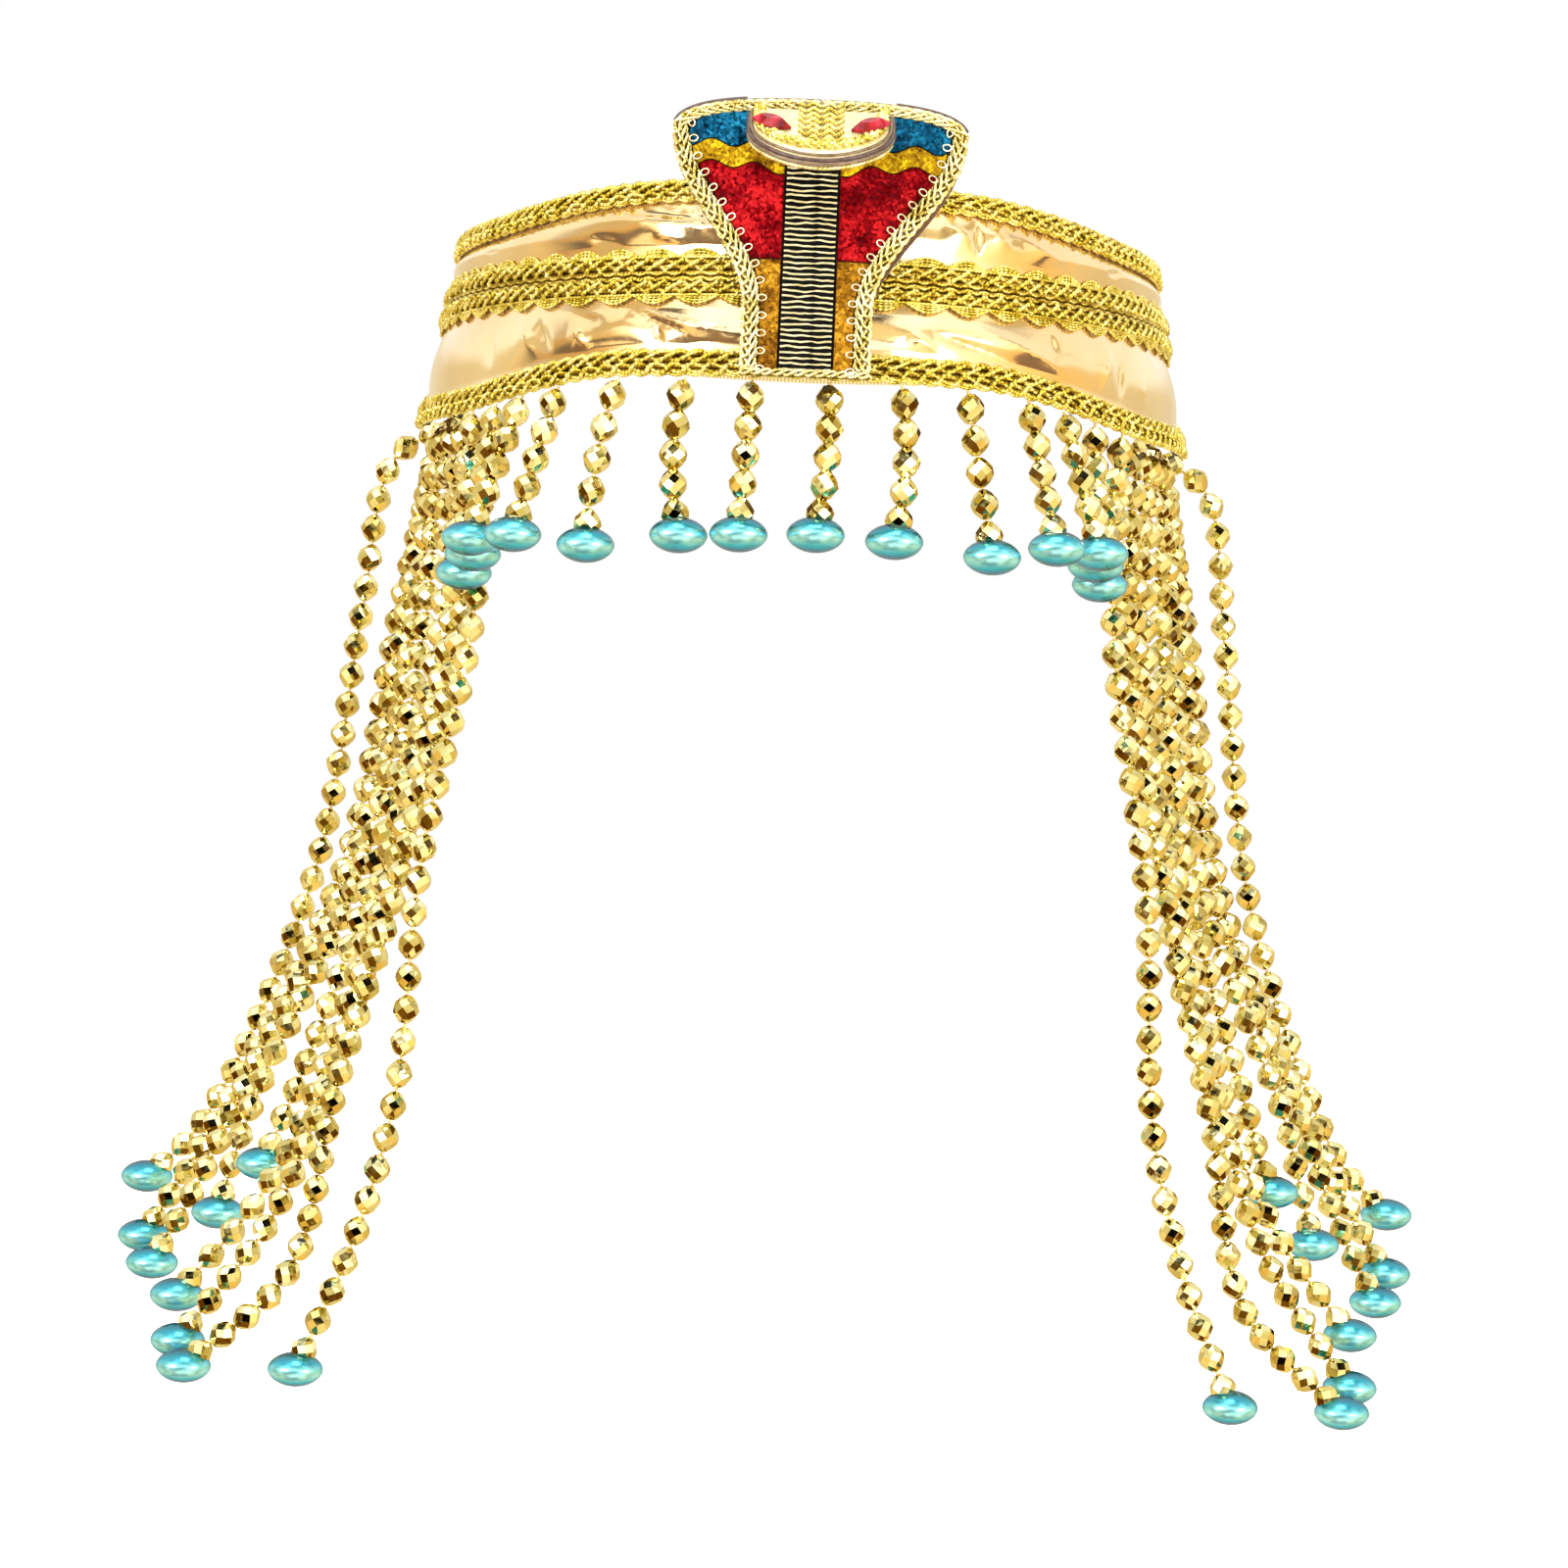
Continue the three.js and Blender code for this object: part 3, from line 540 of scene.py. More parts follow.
def pearlised_acrylic():
    # Turquoise acrylic with a pearl coat: milky swirls under a clear, glossy skin.
    material, tree, shader = new_material(
        "pearlised_acrylic", Metallic=0.85, Roughness=0.3, Specular_Tint=linear("#063E4A"),
        Coat_Weight=0.45, Coat_Roughness=0.06, Coat_IOR=1.7,
    )
    place = add(tree, "ShaderNodeTexCoord").outputs["Object"]
    swirl = add(
        tree, "ShaderNodeTexNoise", {"Vector": place, "Scale": per_mm(9), "Detail": 2, "Distortion": 1.2}
    )
    # By height the colour is darker towards the top and bottom and palest across the middle: painted shade
    # at the rims, painted light in the middle.
    level = add(tree, "ShaderNodeAttribute", attribute_name="level").outputs["Fac"]
    shifted = add(tree, "ShaderNodeMath", {0: swirl, 1: 0.35, 2: level}, operation="MULTIPLY_ADD")
    share = add(tree, "ShaderNodeMapRange", {0: shifted, "From Min": -0.75, "From Max": 1.25})
    stops = (
        (0.0, "#0C7688"), (0.14, "#36AABA"), (0.34, "#A4EEF6"), (0.5, "#88DEEA"), (0.68, "#34A2B4"),
        (1.0, "#0A5666"),
    )
    ramp = add(tree, "ShaderNodeValToRGB", {0: share}, stops=stops)
    fill(tree, shader, {"Base Color": ramp})
    return material


def nylon_thread():
    # Thin yellow nylon thread, a little glossy, with a fine twist.
    material, tree, shader = new_material("nylon_thread", Roughness=0.4)
    place = add(tree, "ShaderNodeTexCoord").outputs["Object"]
    twist = add(tree, "ShaderNodeTexNoise", {"Vector": place, "Scale": per_mm(0.8)})
    ramp = add(tree, "ShaderNodeValToRGB", {0: twist}, stops=((0.3, "#B58A34"), (0.7, "#E6CF8C")))
    fill(tree, shader, {"Base Color": ramp})
    return material


def glitter_cloth(name, dark, middle, light, grain):
    # Cloth with flat film flecks woven in: each fleck has its own tilt, so some flash and some go dark.
    material, tree, shader = new_material(name, Specular_IOR_Level=0.04)
    place = add(tree, "ShaderNodeTexCoord").outputs["Object"]
    # Flecks are about 0.3 mm in the real cloth and are drawn at 0.6 mm so that they show.
    flecks = add(tree, "ShaderNodeTexVoronoi", {"Vector": place, "Scale": per_mm(0.6)})
    chance = flecks.outputs["Color"]
    tone = add(tree, "ShaderNodeSeparateColor", {0: chance})
    patches = add(tree, "ShaderNodeTexNoise", {"Vector": place, "Scale": per_mm(5), "Detail": 2})
    mixed = add(
        tree, "ShaderNodeMath", {0: tone.outputs["Red"], 1: grain, 2: patches}, operation="MULTIPLY_ADD"
    )
    stops = ((0.34 + 0.3 * grain, dark), (0.5 + 0.5 * grain, middle), (0.65 + 0.7 * grain, light))
    ramp = add(tree, "ShaderNodeValToRGB", {0: mixed}, stops=stops)
    tilt = add(tree, "ShaderNodeVectorMath", {0: chance, 1: (0.5, 0.5, 0.5)}, operation="SUBTRACT")
    spot = add(
        tree, "ShaderNodeVectorMath", {0: place, 1: flecks.outputs["Position"]}, operation="SUBTRACT"
    )
    height = add(tree, "ShaderNodeVectorMath", {0: spot, 1: tilt}, operation="DOT_PRODUCT")
    bump = add(tree, "ShaderNodeBump", {"Height": height.outputs["Value"], "Distance": 1, "Strength": 0.7})
    gloss = add(tree, "ShaderNodeMapRange", {0: tone.outputs["Blue"], "To Min": 0.3, "To Max": 0.85})
    film = add(
        tree, "ShaderNodeMapRange",
        {0: tone.outputs["Green"], "From Min": 0.65, "From Max": 0.75, "To Max": 0.7},
    )
    fill(tree, shader, {"Base Color": ramp, "Metallic": film, "Roughness": gloss, "Normal": bump})
    return material


def brushed_felt(name, dark, light):
    # Pressed wool felt: matt, with short tangled fibres.
    material, tree, shader = new_material(name, Roughness=0.92, Sheen_Weight=0.3)
    place = add(tree, "ShaderNodeTexCoord").outputs["Object"]
    fibres = add(
        tree, "ShaderNodeTexNoise", {"Vector": place, "Scale": per_mm(0.9), "Detail": 3, "Distortion": 1.5}
    )
    ramp = add(tree, "ShaderNodeValToRGB", {0: fibres}, stops=((0.3, dark), (0.7, light)))
    bump = add(tree, "ShaderNodeBump", {"Height": fibres, "Distance": 0.2 * MM, "Strength": 0.6})
    fill(tree, shader, {"Base Color": ramp, "Normal": bump})
    return material


def satin(name, dark, light, metal, shine=0.5):
    # Satin weave: long floating threads give a soft, silky streak.
    material, tree, shader = new_material(name, Metallic=metal, Specular_IOR_Level=shine)
    place = add(tree, "ShaderNodeTexCoord").outputs["Object"]
    drawn_out = add(tree, "ShaderNodeMapping", {"Vector": place, "Scale": (1, 3, 3)})
    threads = add(tree, "ShaderNodeTexNoise", {"Vector": drawn_out, "Scale": per_mm(2), "Detail": 3})
    ramp = add(tree, "ShaderNodeValToRGB", {0: threads}, stops=((0.3, dark), (0.7, light)))
    gloss = add(tree, "ShaderNodeMapRange", {0: threads, "To Min": 0.24, "To Max": 0.42})
    bump = add(tree, "ShaderNodeBump", {"Height": threads, "Distance": 0.08 * MM, "Strength": 0.4})
    fill(tree, shader, {"Base Color": ramp, "Roughness": gloss, "Normal": bump})
    return material


def red_acrylic():
    # Foil-backed red acrylic gem: deep red with a clear gloss and lighter streaks inside.
    material, tree, shader = new_material(
        "red_acrylic", Roughness=0.15, IOR=1.4, Coat_Weight=0.25, Coat_Roughness=0.05
    )
    place = add(tree, "ShaderNodeTexCoord").outputs["Object"]
    depth = add(tree, "ShaderNodeTexNoise", {"Vector": place, "Scale": per_mm(3), "Detail": 1})
    stops = ((0.35, "#56020C"), (0.55, "#90081A"), (0.75, "#C02840"))
    ramp = add(tree, "ShaderNodeValToRGB", {0: depth}, stops=stops)
    fill(tree, shader, {"Base Color": ramp})
    return material


def elastic_webbing():
    # Woven elastic: matt gold-beige yarn in tight cross ribs.
    material, tree, shader = new_material("elastic_webbing", Roughness=0.85, Sheen_Weight=0.2)
    place = add(tree, "ShaderNodeTexCoord").outputs["UV"]
    # Cross ribs lie about 0.6 mm apart in the real webbing and are drawn 1 mm apart so that they show.
    weave = add(tree, "ShaderNodeTexWave", {"Vector": place, "Scale": 0.32, "Distortion": 0.8})
    ribs = weave.outputs["Fac"]
    ramp = add(tree, "ShaderNodeValToRGB", {0: ribs}, stops=((0.0, "#A88A4C"), (1.0, "#DCC590")))
    bump = add(tree, "ShaderNodeBump", {"Height": ribs, "Distance": 0.2 * MM, "Strength": 0.6})
    fill(tree, shader, {"Base Color": ramp, "Normal": bump})
    return material


def painted_floor():
    # Plain pale studio floor, matt, with the faintest mottle.
    material, tree, shader = new_material("painted_floor", Roughness=0.9, Emission_Strength=0.7)
    place = add(tree, "ShaderNodeTexCoord").outputs["Object"]
    mottle = add(tree, "ShaderNodeTexNoise", {"Vector": place, "Scale": per_mm(300)})
    ramp = add(tree, "ShaderNodeValToRGB", {0: mottle}, stops=((0.3, "#FAFAFA"), (0.7, "#FFFFFF")))
    fill(tree, shader, {"Base Color": ramp, "Emission Color": ramp})
    return material


# Where things are

def ring_point(angle, height, out=0):
    """A point on the head ring at an angle from the front and a height, moved out of its surface."""
    inset = RING_TOP_INSET * height / BAND_HEIGHT
    across = RING_HALF_WIDTH - inset
    along = RING_HALF_DEPTH - inset
    sine = math.sin(math.radians(angle))
    cosine = math.cos(math.radians(angle))
    outward = Vector((along * sine, -across * cosine, 0)).normalized()
    return Vector((across * sine, -along * cosine, height)) + outward * out


def slant_share(angle):
    return clamp((abs(angle) - SLANT_START_ANGLE) / (BAND_END_ANGLE - SLANT_START_ANGLE))


def lower_edge(angle):
    """How far the band's lower edge has risen: it falls at the sides and slants up to the ends."""
    fall = LOWER_FALL * smooth_step(abs(angle), FALL_START_ANGLE, FALL_END_ANGLE)
    return SLANT_RISE * slant_share(angle) - fall


def upper_edge(angle):
    """How far the band's upper edge has risen: it stands higher at the front and falls at the sides."""
    fall = UPPER_FALL * smooth_step(abs(angle), FALL_START_ANGLE, FALL_END_ANGLE)
    return TOP_FRONT_RISE * max(0, math.cos(math.radians(angle))) ** 2 - fall


def level_edge(angle):
    """The edge of a braid that stays level all round, whatever the angle."""
    return 0


def rounded_half_width(height, inset):
    share = min((height - HOOD_WIDEST) / (HOOD_TOP - inset - HOOD_WIDEST), 1)
    return (HOOD_HALF_WIDTH - inset) * (1 - share ** HOOD_ROUNDING) ** (1 / HOOD_ROUNDING)


def hood_half_width(height):
    """Half the hood's width: straight stem, smooth flare, rounded top."""
    if height > HOOD_WIDEST:
        return rounded_half_width(height, 0)
    return mix(STEM_HALF_WIDTH, HOOD_HALF_WIDTH, smooth_step(height, FLARE_START, HOOD_WIDEST))


def top_narrowing(height):
    """The hood's braid looks narrower where the hood's top curls back."""
    return mix(1, TOP_NARROWING, smooth_step(height, *NARROWING_HEIGHTS))


def cloth_half_width(height):
    """Half the width that the hood's braid leaves for cloth."""
    inset = (HOOD_BRAID_WIDTH + GAP / 2) * top_narrowing(height)
    if height > HOOD_WIDEST:
        return rounded_half_width(height, inset)
    slope = hood_half_width(height + 0.5) - hood_half_width(height - 0.5)
    return hood_half_width(height) - inset * math.hypot(1, slope)


def hood_centre(height):
    """The hood leans a little to one side as it rises."""
    return HOOD_LEAN * smooth_step(height, FLARE_START, HOOD_WIDEST)


def hood_point(x, height, forward):
    """A point in front of the hood's back, which leans with the band and curls forward above it."""
    lean = RING_TOP_INSET * height / BAND_HEIGHT
    curl = HOOD_FORWARD_CURL * max(0, height - BAND_HEIGHT) ** 2
    bend = x * x / (2 * HOOD_BEND_RADIUS)
    return Vector((x, -RING_HALF_DEPTH - HOOD_CLEARANCE + lean + bend - curl - forward, height))


def hood_normal(x, height):
    across = hood_point(x + 1, height, 0) - hood_point(x - 1, height, 0)
    up = hood_point(x, height + 1, 0) - hood_point(x, height - 1, 0)
    return across.cross(up).normalized()


def head_point(x, forward, above):
    """A point over the head's slope, at a distance forward of the hood."""
    puff = HEAD_PUFF * max(0, 1 - (x / HEAD_HALF_WIDTH) ** 2) * max(0, 1 - (forward / HEAD_LENGTH) ** 2)
    start = hood_point(0, HEAD_TOP, HEAD_FRONT)
    return Vector((x + HOOD_LEAN, start.y - forward, HEAD_TOP - HEAD_DROP * forward + puff + above))


def head_outline():
    """The head's outline from its back left corner round the front, as x and forward."""
    arc = [math.radians(mix(-90, 90, step / HEAD_STEPS)) for step in range(HEAD_STEPS + 1)]
    reach = HEAD_LENGTH - HEAD_STRAIGHT
    front = [(HEAD_HALF_WIDTH * math.sin(t), HEAD_STRAIGHT + reach * math.cos(t)) for t in arc]
    straight = [HEAD_STRAIGHT * step / HEAD_SIDE_STEPS for step in range(HEAD_SIDE_STEPS)]
    left = [(-HEAD_HALF_WIDTH, forward) for forward in straight]
    right = [(HEAD_HALF_WIDTH, forward) for forward in reversed(straight)]
    return left + front + right


def smooth_path(stations, steps):
    """A smooth curve through stations, as a list of points."""
    first = 2 * stations[0] - stations[1]
    last = 2 * stations[-1] - stations[-2]
    knots = [first, *stations, last]
    points = []
    for before, start, end, after in zip(knots, knots[1:], knots[2:], knots[3:]):
        spans = [math.sqrt((b - a).length) for a, b in ((before, start), (start, end), (end, after))]
        leave = (start - before) / spans[0] - (end - before) / (spans[0] + spans[1])
        leave = (leave + (end - start) / spans[1]) * spans[1]
        arrive = (end - start) / spans[1] - (after - start) / (spans[1] + spans[2])
        arrive = (arrive + (after - end) / spans[2]) * spans[1]
        for step in range(steps):
            t = step / steps
            square = 3 * (end - start) - 2 * leave - arrive
            cube = 2 * (start - end) + leave + arrive
            points.append(start + leave * t + square * t * t + cube * t ** 3)
    return [*points, stations[-1]]


def line_length(points):
    return sum((b - a).length for a, b in zip(points, points[1:]))


# Meshes and pieces

def new_object(name, data):
    """A mesh, lamp or camera placed in the scene."""
    thing = bpy.data.objects.new(name, data)
    bpy.context.scene.collection.objects.link(thing)
    return thing


def set_piece(name, mesh, nodes):
    """A finished piece that rides on the part and stands for its nodes."""
    piece = new_object(name, mesh)
    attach(piece, "root")
    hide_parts(*nodes)
    return piece


def closed_wall(name, columns, rows, front, back, size):
    """A closed wall between two grids, each a function of two shares, with a cloth map in millimetres.
    The front faces the side from which the first share runs to the right and the second upwards."""
    points = []
    for surface in (front, back):
        for row in range(rows + 1):
            points.extend(surface(column / columns, row / rows) * MM for column in range(columns + 1))
    layer = (columns + 1) * (rows + 1)

    def at(column, row, side):
        return side * layer + row * (columns + 1) + column

    faces = []
    for row in range(rows):
        for column in range(columns):
            corners = [(column, row), (column + 1, row), (column + 1, row + 1), (column, row + 1)]
            faces.append([at(*corner, 0) for corner in corners])
            faces.append([at(*corner, 1) for corner in reversed(corners)])
    for column in range(columns):
        after = column + 1
        faces.append([at(column, 0, 0), at(column, 0, 1), at(after, 0, 1), at(after, 0, 0)])
        faces.append([at(column, rows, 0), at(after, rows, 0), at(after, rows, 1), at(column, rows, 1)])
    for row in range(rows):
        after = row + 1
        faces.append([at(0, row, 0), at(0, after, 0), at(0, after, 1), at(0, row, 1)])
        faces.append([at(columns, *spot) for spot in ((row, 0), (row, 1), (after, 1), (after, 0))])
    mesh = bpy.data.meshes.new(name)
    mesh.from_pydata(points, [], faces)
    cloth_map = mesh.uv_layers.new(name="cloth_map")
    for loop in mesh.loops:
        row, column = divmod(loop.vertex_index % layer, columns + 1)
        cloth_map.data[loop.index].uv = (column / columns * size[0], row / rows * size[1])
    mesh.shade_smooth()
    return mesh


def guide(lines, **values):
    """An object of bare edges for a node tree to follow, with values on its points."""
    points = []
    edges = []
    for line in lines:
        first = len(points)
        points.extend(point * MM for point in line)
        edges.extend((place, place + 1) for place in range(first, len(points) - 1))
    mesh = bpy.data.meshes.new("guide")
    mesh.from_pydata(points, edges, [])
    for name, items in values.items():
        is_vector = isinstance(items[0], Vector)
        field = mesh.attributes.new(name, "FLOAT_VECTOR" if is_vector else "FLOAT", "POINT")
        flat = [number for item in items for number in item] if is_vector else items
        field.data.foreach_set("vector" if is_vector else "value", flat)
    return new_object("guide", mesh)


# Node trees

def open_tree(name, sockets):
    """A geometry tree with named inputs, and its input node's sockets."""
    tree = bpy.data.node_groups.new(name, "GeometryNodeTree")
    for label, kind in sockets:
        tree.interface.new_socket(label, in_out="INPUT", socket_type="NodeSocket" + kind)
    tree.interface.new_socket("Geometry", in_out="OUTPUT", socket_type="NodeSocketGeometry")
    return tree, add(tree, "NodeGroupInput").outputs


def close_tree(tree, *painted):
    """Ends a tree: each geometry becomes real and takes its material."""
    joined = add(tree, "GeometryNodeJoinGeometry")
    for geometry, material in painted:
        real = add(tree, "GeometryNodeRealizeInstances", {0: geometry})
        coated = add(tree, "GeometryNodeSetMaterial", {0: real, "Material": material})
        tree.links.new(coated.outputs[0], joined.inputs[0])
    add(tree, "NodeGroupOutput", {0: joined})


def grown(name, base, tree, values):
    """The plain mesh that a tree makes from a base object, which is then removed."""
    modifier = base.modifiers.new("grow", "NODES")
    modifier.node_group = tree
    for socket in tree.interface.items_tree:
        if socket.in_out == "INPUT" and socket.name in values:
            modifier[socket.identifier] = values[socket.name]
    evaluated = base.evaluated_get(bpy.context.evaluated_depsgraph_get())
    mesh = bpy.data.meshes.new_from_object(evaluated)
    mesh.name = name
    base.modifiers.remove(modifier)
    bpy.data.objects.remove(base)
    return mesh


def yarn_tree():
    """One yarn that follows a guide and sways along it, across it and out of it in waves."""
    sizes = ["Radius", "Offset", "Rise", "Scallop", "Thickening"]
    sways = ("Along", "Across", "Lift")
    for sway in sways:
        sizes += [sway, sway + " waves", sway + " phase"]
    sockets = [("Guide", "Geometry"), ("Repeats", "Int"), ("Steps", "Int"), ("Sides", "Int")]
    tree, given = open_tree("yarn", sockets + [(size, "Float") for size in sizes])
    curve = add(tree, "GeometryNodeMeshToCurve", {0: given["Guide"]})
    count = add(tree, "ShaderNodeMath", {0: given["Repeats"], 1: given["Steps"]}, operation="MULTIPLY")
    even = add(tree, "GeometryNodeResampleCurve", {"Curve": curve, "Count": count})
    share = add(tree, "GeometryNodeSplineParameter").outputs["Factor"]
    full = add(tree, "ShaderNodeMath", {0: given["Repeats"], 1: 2 * math.pi}, operation="MULTIPLY")
    turn = add(tree, "ShaderNodeMath", {0: share, 1: full}, operation="MULTIPLY")
    waves = {}
    for sway in sways:
        phase = add(
            tree, "ShaderNodeMath", {0: turn, 1: given[sway + " waves"], 2: given[sway + " phase"]},
            operation="MULTIPLY_ADD",
        )
        waves[sway] = add(tree, "ShaderNodeMath", {0: phase}, operation="SINE")
    bowed = add(tree, "ShaderNodeMath", {0: waves["Across"]}, operation="ABSOLUTE")
    waves["Across"] = add(tree, "ShaderNodeMix", {0: given["Scallop"], 2: waves["Across"], 3: bowed})
    bases = {"Along": 0.0, "Across": given["Offset"], "Lift": given["Rise"]}
    axes = {"Along": add(tree, "GeometryNodeInputTangent")}
    for sway, field in (("Across", "upward"), ("Lift", "outward")):
        axes[sway] = add(tree, "GeometryNodeInputNamedAttribute", {"Name": field}, data_type="FLOAT_VECTOR")
    steps = []
    for sway, axis in axes.items():
        amount = add(
            tree, "ShaderNodeMath", {0: waves[sway], 1: given[sway], 2: bases[sway]},
            operation="MULTIPLY_ADD",
        )
        steps.append(add(tree, "ShaderNodeVectorMath", {0: axis, "Scale": amount}, operation="SCALE"))
    pair = add(tree, "ShaderNodeVectorMath", {0: steps[0], 1: steps[1]})
    offset = add(tree, "ShaderNodeVectorMath", {0: pair, 1: steps[2]})
    moved = add(tree, "GeometryNodeSetPosition", {0: even, "Offset": offset})
    length = add(tree, "GeometryNodeSplineParameter").outputs["Length"]
    marked = add(
        tree, "GeometryNodeStoreNamedAttribute", {0: moved, "Name": "run", "Value": length},
        data_type="FLOAT", domain="POINT",
    )
    ring = add(
        tree, "GeometryNodeCurvePrimitiveCircle", {"Resolution": given["Sides"], "Radius": given["Radius"]}
    )
    turned = add(
        tree, "GeometryNodeStoreNamedAttribute",
        {0: ring, "Name": "around", "Value": add(tree, "GeometryNodeInputPosition")},
        data_type="FLOAT_VECTOR", domain="POINT",
    )
    beat = add(tree, "ShaderNodeMath", {0: turn, 1: STITCH_WAVES}, operation="MULTIPLY")
    wave = add(tree, "ShaderNodeMath", {0: beat}, operation="SINE")
    thick = add(
        tree, "ShaderNodeMath", {0: wave, 1: given["Thickening"], 2: 1.0}, operation="MULTIPLY_ADD"
    )
    tube = add(tree, "GeometryNodeCurveToMesh", {0: marked, 1: turned, "Scale": thick, "Fill Caps": True})
    smooth = add(tree, "GeometryNodeSetShadeSmooth", {0: tube})
    add(tree, "NodeGroupOutput", {0: smooth})
    return tree


def braid_tree(name, yarns):
    """Several yarns along one guide, each with its coat, its sizes in millimetres and phases in degrees."""
    tree, given = open_tree(name, [
        ("Guide", "Geometry"), ("Repeats", "Int"), ("Material", "Material"), ("Ground", "Material"),
    ])
    joined = {coat: add(tree, "GeometryNodeJoinGeometry") for coat in ("Material", "Ground")}
    for coat, sizes in yarns:
        values = {
            "Guide": given["Guide"], "Repeats": given["Repeats"], "Steps": YARN_STEPS, "Sides": YARN_SIDES,
        }
        for label, value in sizes.items():
            if "phase" in label:
                value = math.radians(value)
            elif label in ("radius", "offset", "rise", "along", "across", "lift"):
                value = value * MM
            values[label.capitalize().replace("_", " ")] = value
        yarn = add(tree, "GeometryNodeGroup", values, node_tree=YARN_TREE)
        tree.links.new(yarn.outputs[0], joined[coat].inputs[0])
    close_tree(tree, *((joined[coat], given[coat]) for coat in joined))
    return tree


def strand_tree():
    """Beads threaded along guides, each turned and tilted by chance."""
    tree, given = open_tree("bead strand", [
        ("Guide", "Geometry"), ("Bead", "Object"), ("First bead", "Float"), ("Last bead", "Float"),
        ("Thread radius", "Float"), ("Tilt", "Float"), ("Seed", "Int"),
        ("Thread material", "Material"), ("Material", "Material"),
    ])
    curve = add(tree, "GeometryNodeMeshToCurve", {0: given["Guide"]})
    length = add(tree, "GeometryNodeSplineLength").outputs["Length"]
    last = add(tree, "ShaderNodeMath", {0: length, 1: given["Last bead"]}, operation="SUBTRACT")
    # A trim by length takes its start and end in places 4 and 5.
    trimmed = add(
        tree, "GeometryNodeTrimCurve", {0: curve, 4: given["First bead"], 5: last}, mode="LENGTH"
    )
    count = add(tree, "GeometryNodeInputNamedAttribute", {"Name": "beads"}, data_type="FLOAT")
    places = add(tree, "GeometryNodeResampleCurve", {"Curve": trimmed, "Count": count})
    tangent = add(tree, "GeometryNodeInputTangent")
    rotation = add(tree, "FunctionNodeAlignRotationToVector", {"Vector": tangent}, axis="Z")
    # A chance number takes its least and most in places 2 and 3, and comes out in place 1.
    for place, axis, most in ((1, (0, 0, 1), 2 * math.pi), (2, (1, 0, 0), given["Tilt"])):
        seed = add(tree, "ShaderNodeMath", {0: given["Seed"], 1: place}, operation="ADD")
        angle = add(tree, "FunctionNodeRandomValue", {2: 0.0, 3: most, "Seed": seed})
        turn = add(tree, "FunctionNodeAxisAngleToRotation", {"Axis": axis, "Angle": angle.outputs[1]})
        rotation = add(tree, "FunctionNodeRotateRotation", {0: rotation, 1: turn}, rotation_space="LOCAL")
    bead = add(tree, "GeometryNodeObjectInfo", {"Object": given["Bead"]})
    beads = add(
        tree, "GeometryNodeInstanceOnPoints",
        {0: places, "Instance": bead.outputs["Geometry"], "Rotation": rotation},
    )
    ring = add(
        tree, "GeometryNodeCurvePrimitiveCircle",
        {"Resolution": THREAD_SIDES, "Radius": given["Thread radius"]},
    )
    thread = add(tree, "GeometryNodeCurveToMesh", {0: curve, 1: ring, "Fill Caps": True})
    close_tree(tree, (thread, given["Thread material"]), (beads, given["Material"]))
    return tree


def pearl_tree():
    """A flattened ball on each point, drawn out a little towards its edge."""
    tree, given = open_tree("pearls", [
        ("Guide", "Geometry"), ("Radius", "Float"), ("Half height", "Float"), ("Edge", "Float"),
        ("Material", "Material"),
    ])
    ball = add(
        tree, "GeometryNodeMeshUVSphere",
        {"Segments": PEARL_SEGMENTS, "Rings": PEARL_RINGS, "Radius": given["Radius"]},
    )
    spot = add(tree, "ShaderNodeSeparateXYZ", {0: add(tree, "GeometryNodeInputPosition")})
    share = add(tree, "ShaderNodeMath", {0: spot.outputs["Z"], 1: given["Radius"]}, operation="DIVIDE")
    size = add(tree, "ShaderNodeMath", {0: share}, operation="ABSOLUTE")
    bent = add(tree, "ShaderNodeMath", {0: size, 1: given["Edge"]}, operation="POWER")
    side = add(tree, "ShaderNodeMath", {0: share}, operation="SIGN")
    level = add(tree, "ShaderNodeMath", {0: bent, 1: side}, operation="MULTIPLY")
    height = add(tree, "ShaderNodeMath", {0: level, 1: given["Half height"]}, operation="MULTIPLY")
    marked = add(
        tree, "GeometryNodeStoreNamedAttribute", {0: ball, "Name": "level", "Value": level},
        data_type="FLOAT", domain="POINT",
    )
    place = add(tree, "ShaderNodeCombineXYZ", {0: spot.outputs["X"], 1: spot.outputs["Y"], 2: height})
    flat = add(tree, "GeometryNodeSetPosition", {0: marked, "Position": place})
    smooth = add(tree, "GeometryNodeSetShadeSmooth", {0: flat})
    pearls = add(tree, "GeometryNodeInstanceOnPoints", {0: given["Guide"], "Instance": smooth})
    close_tree(tree, (pearls, given["Material"]))
    return tree


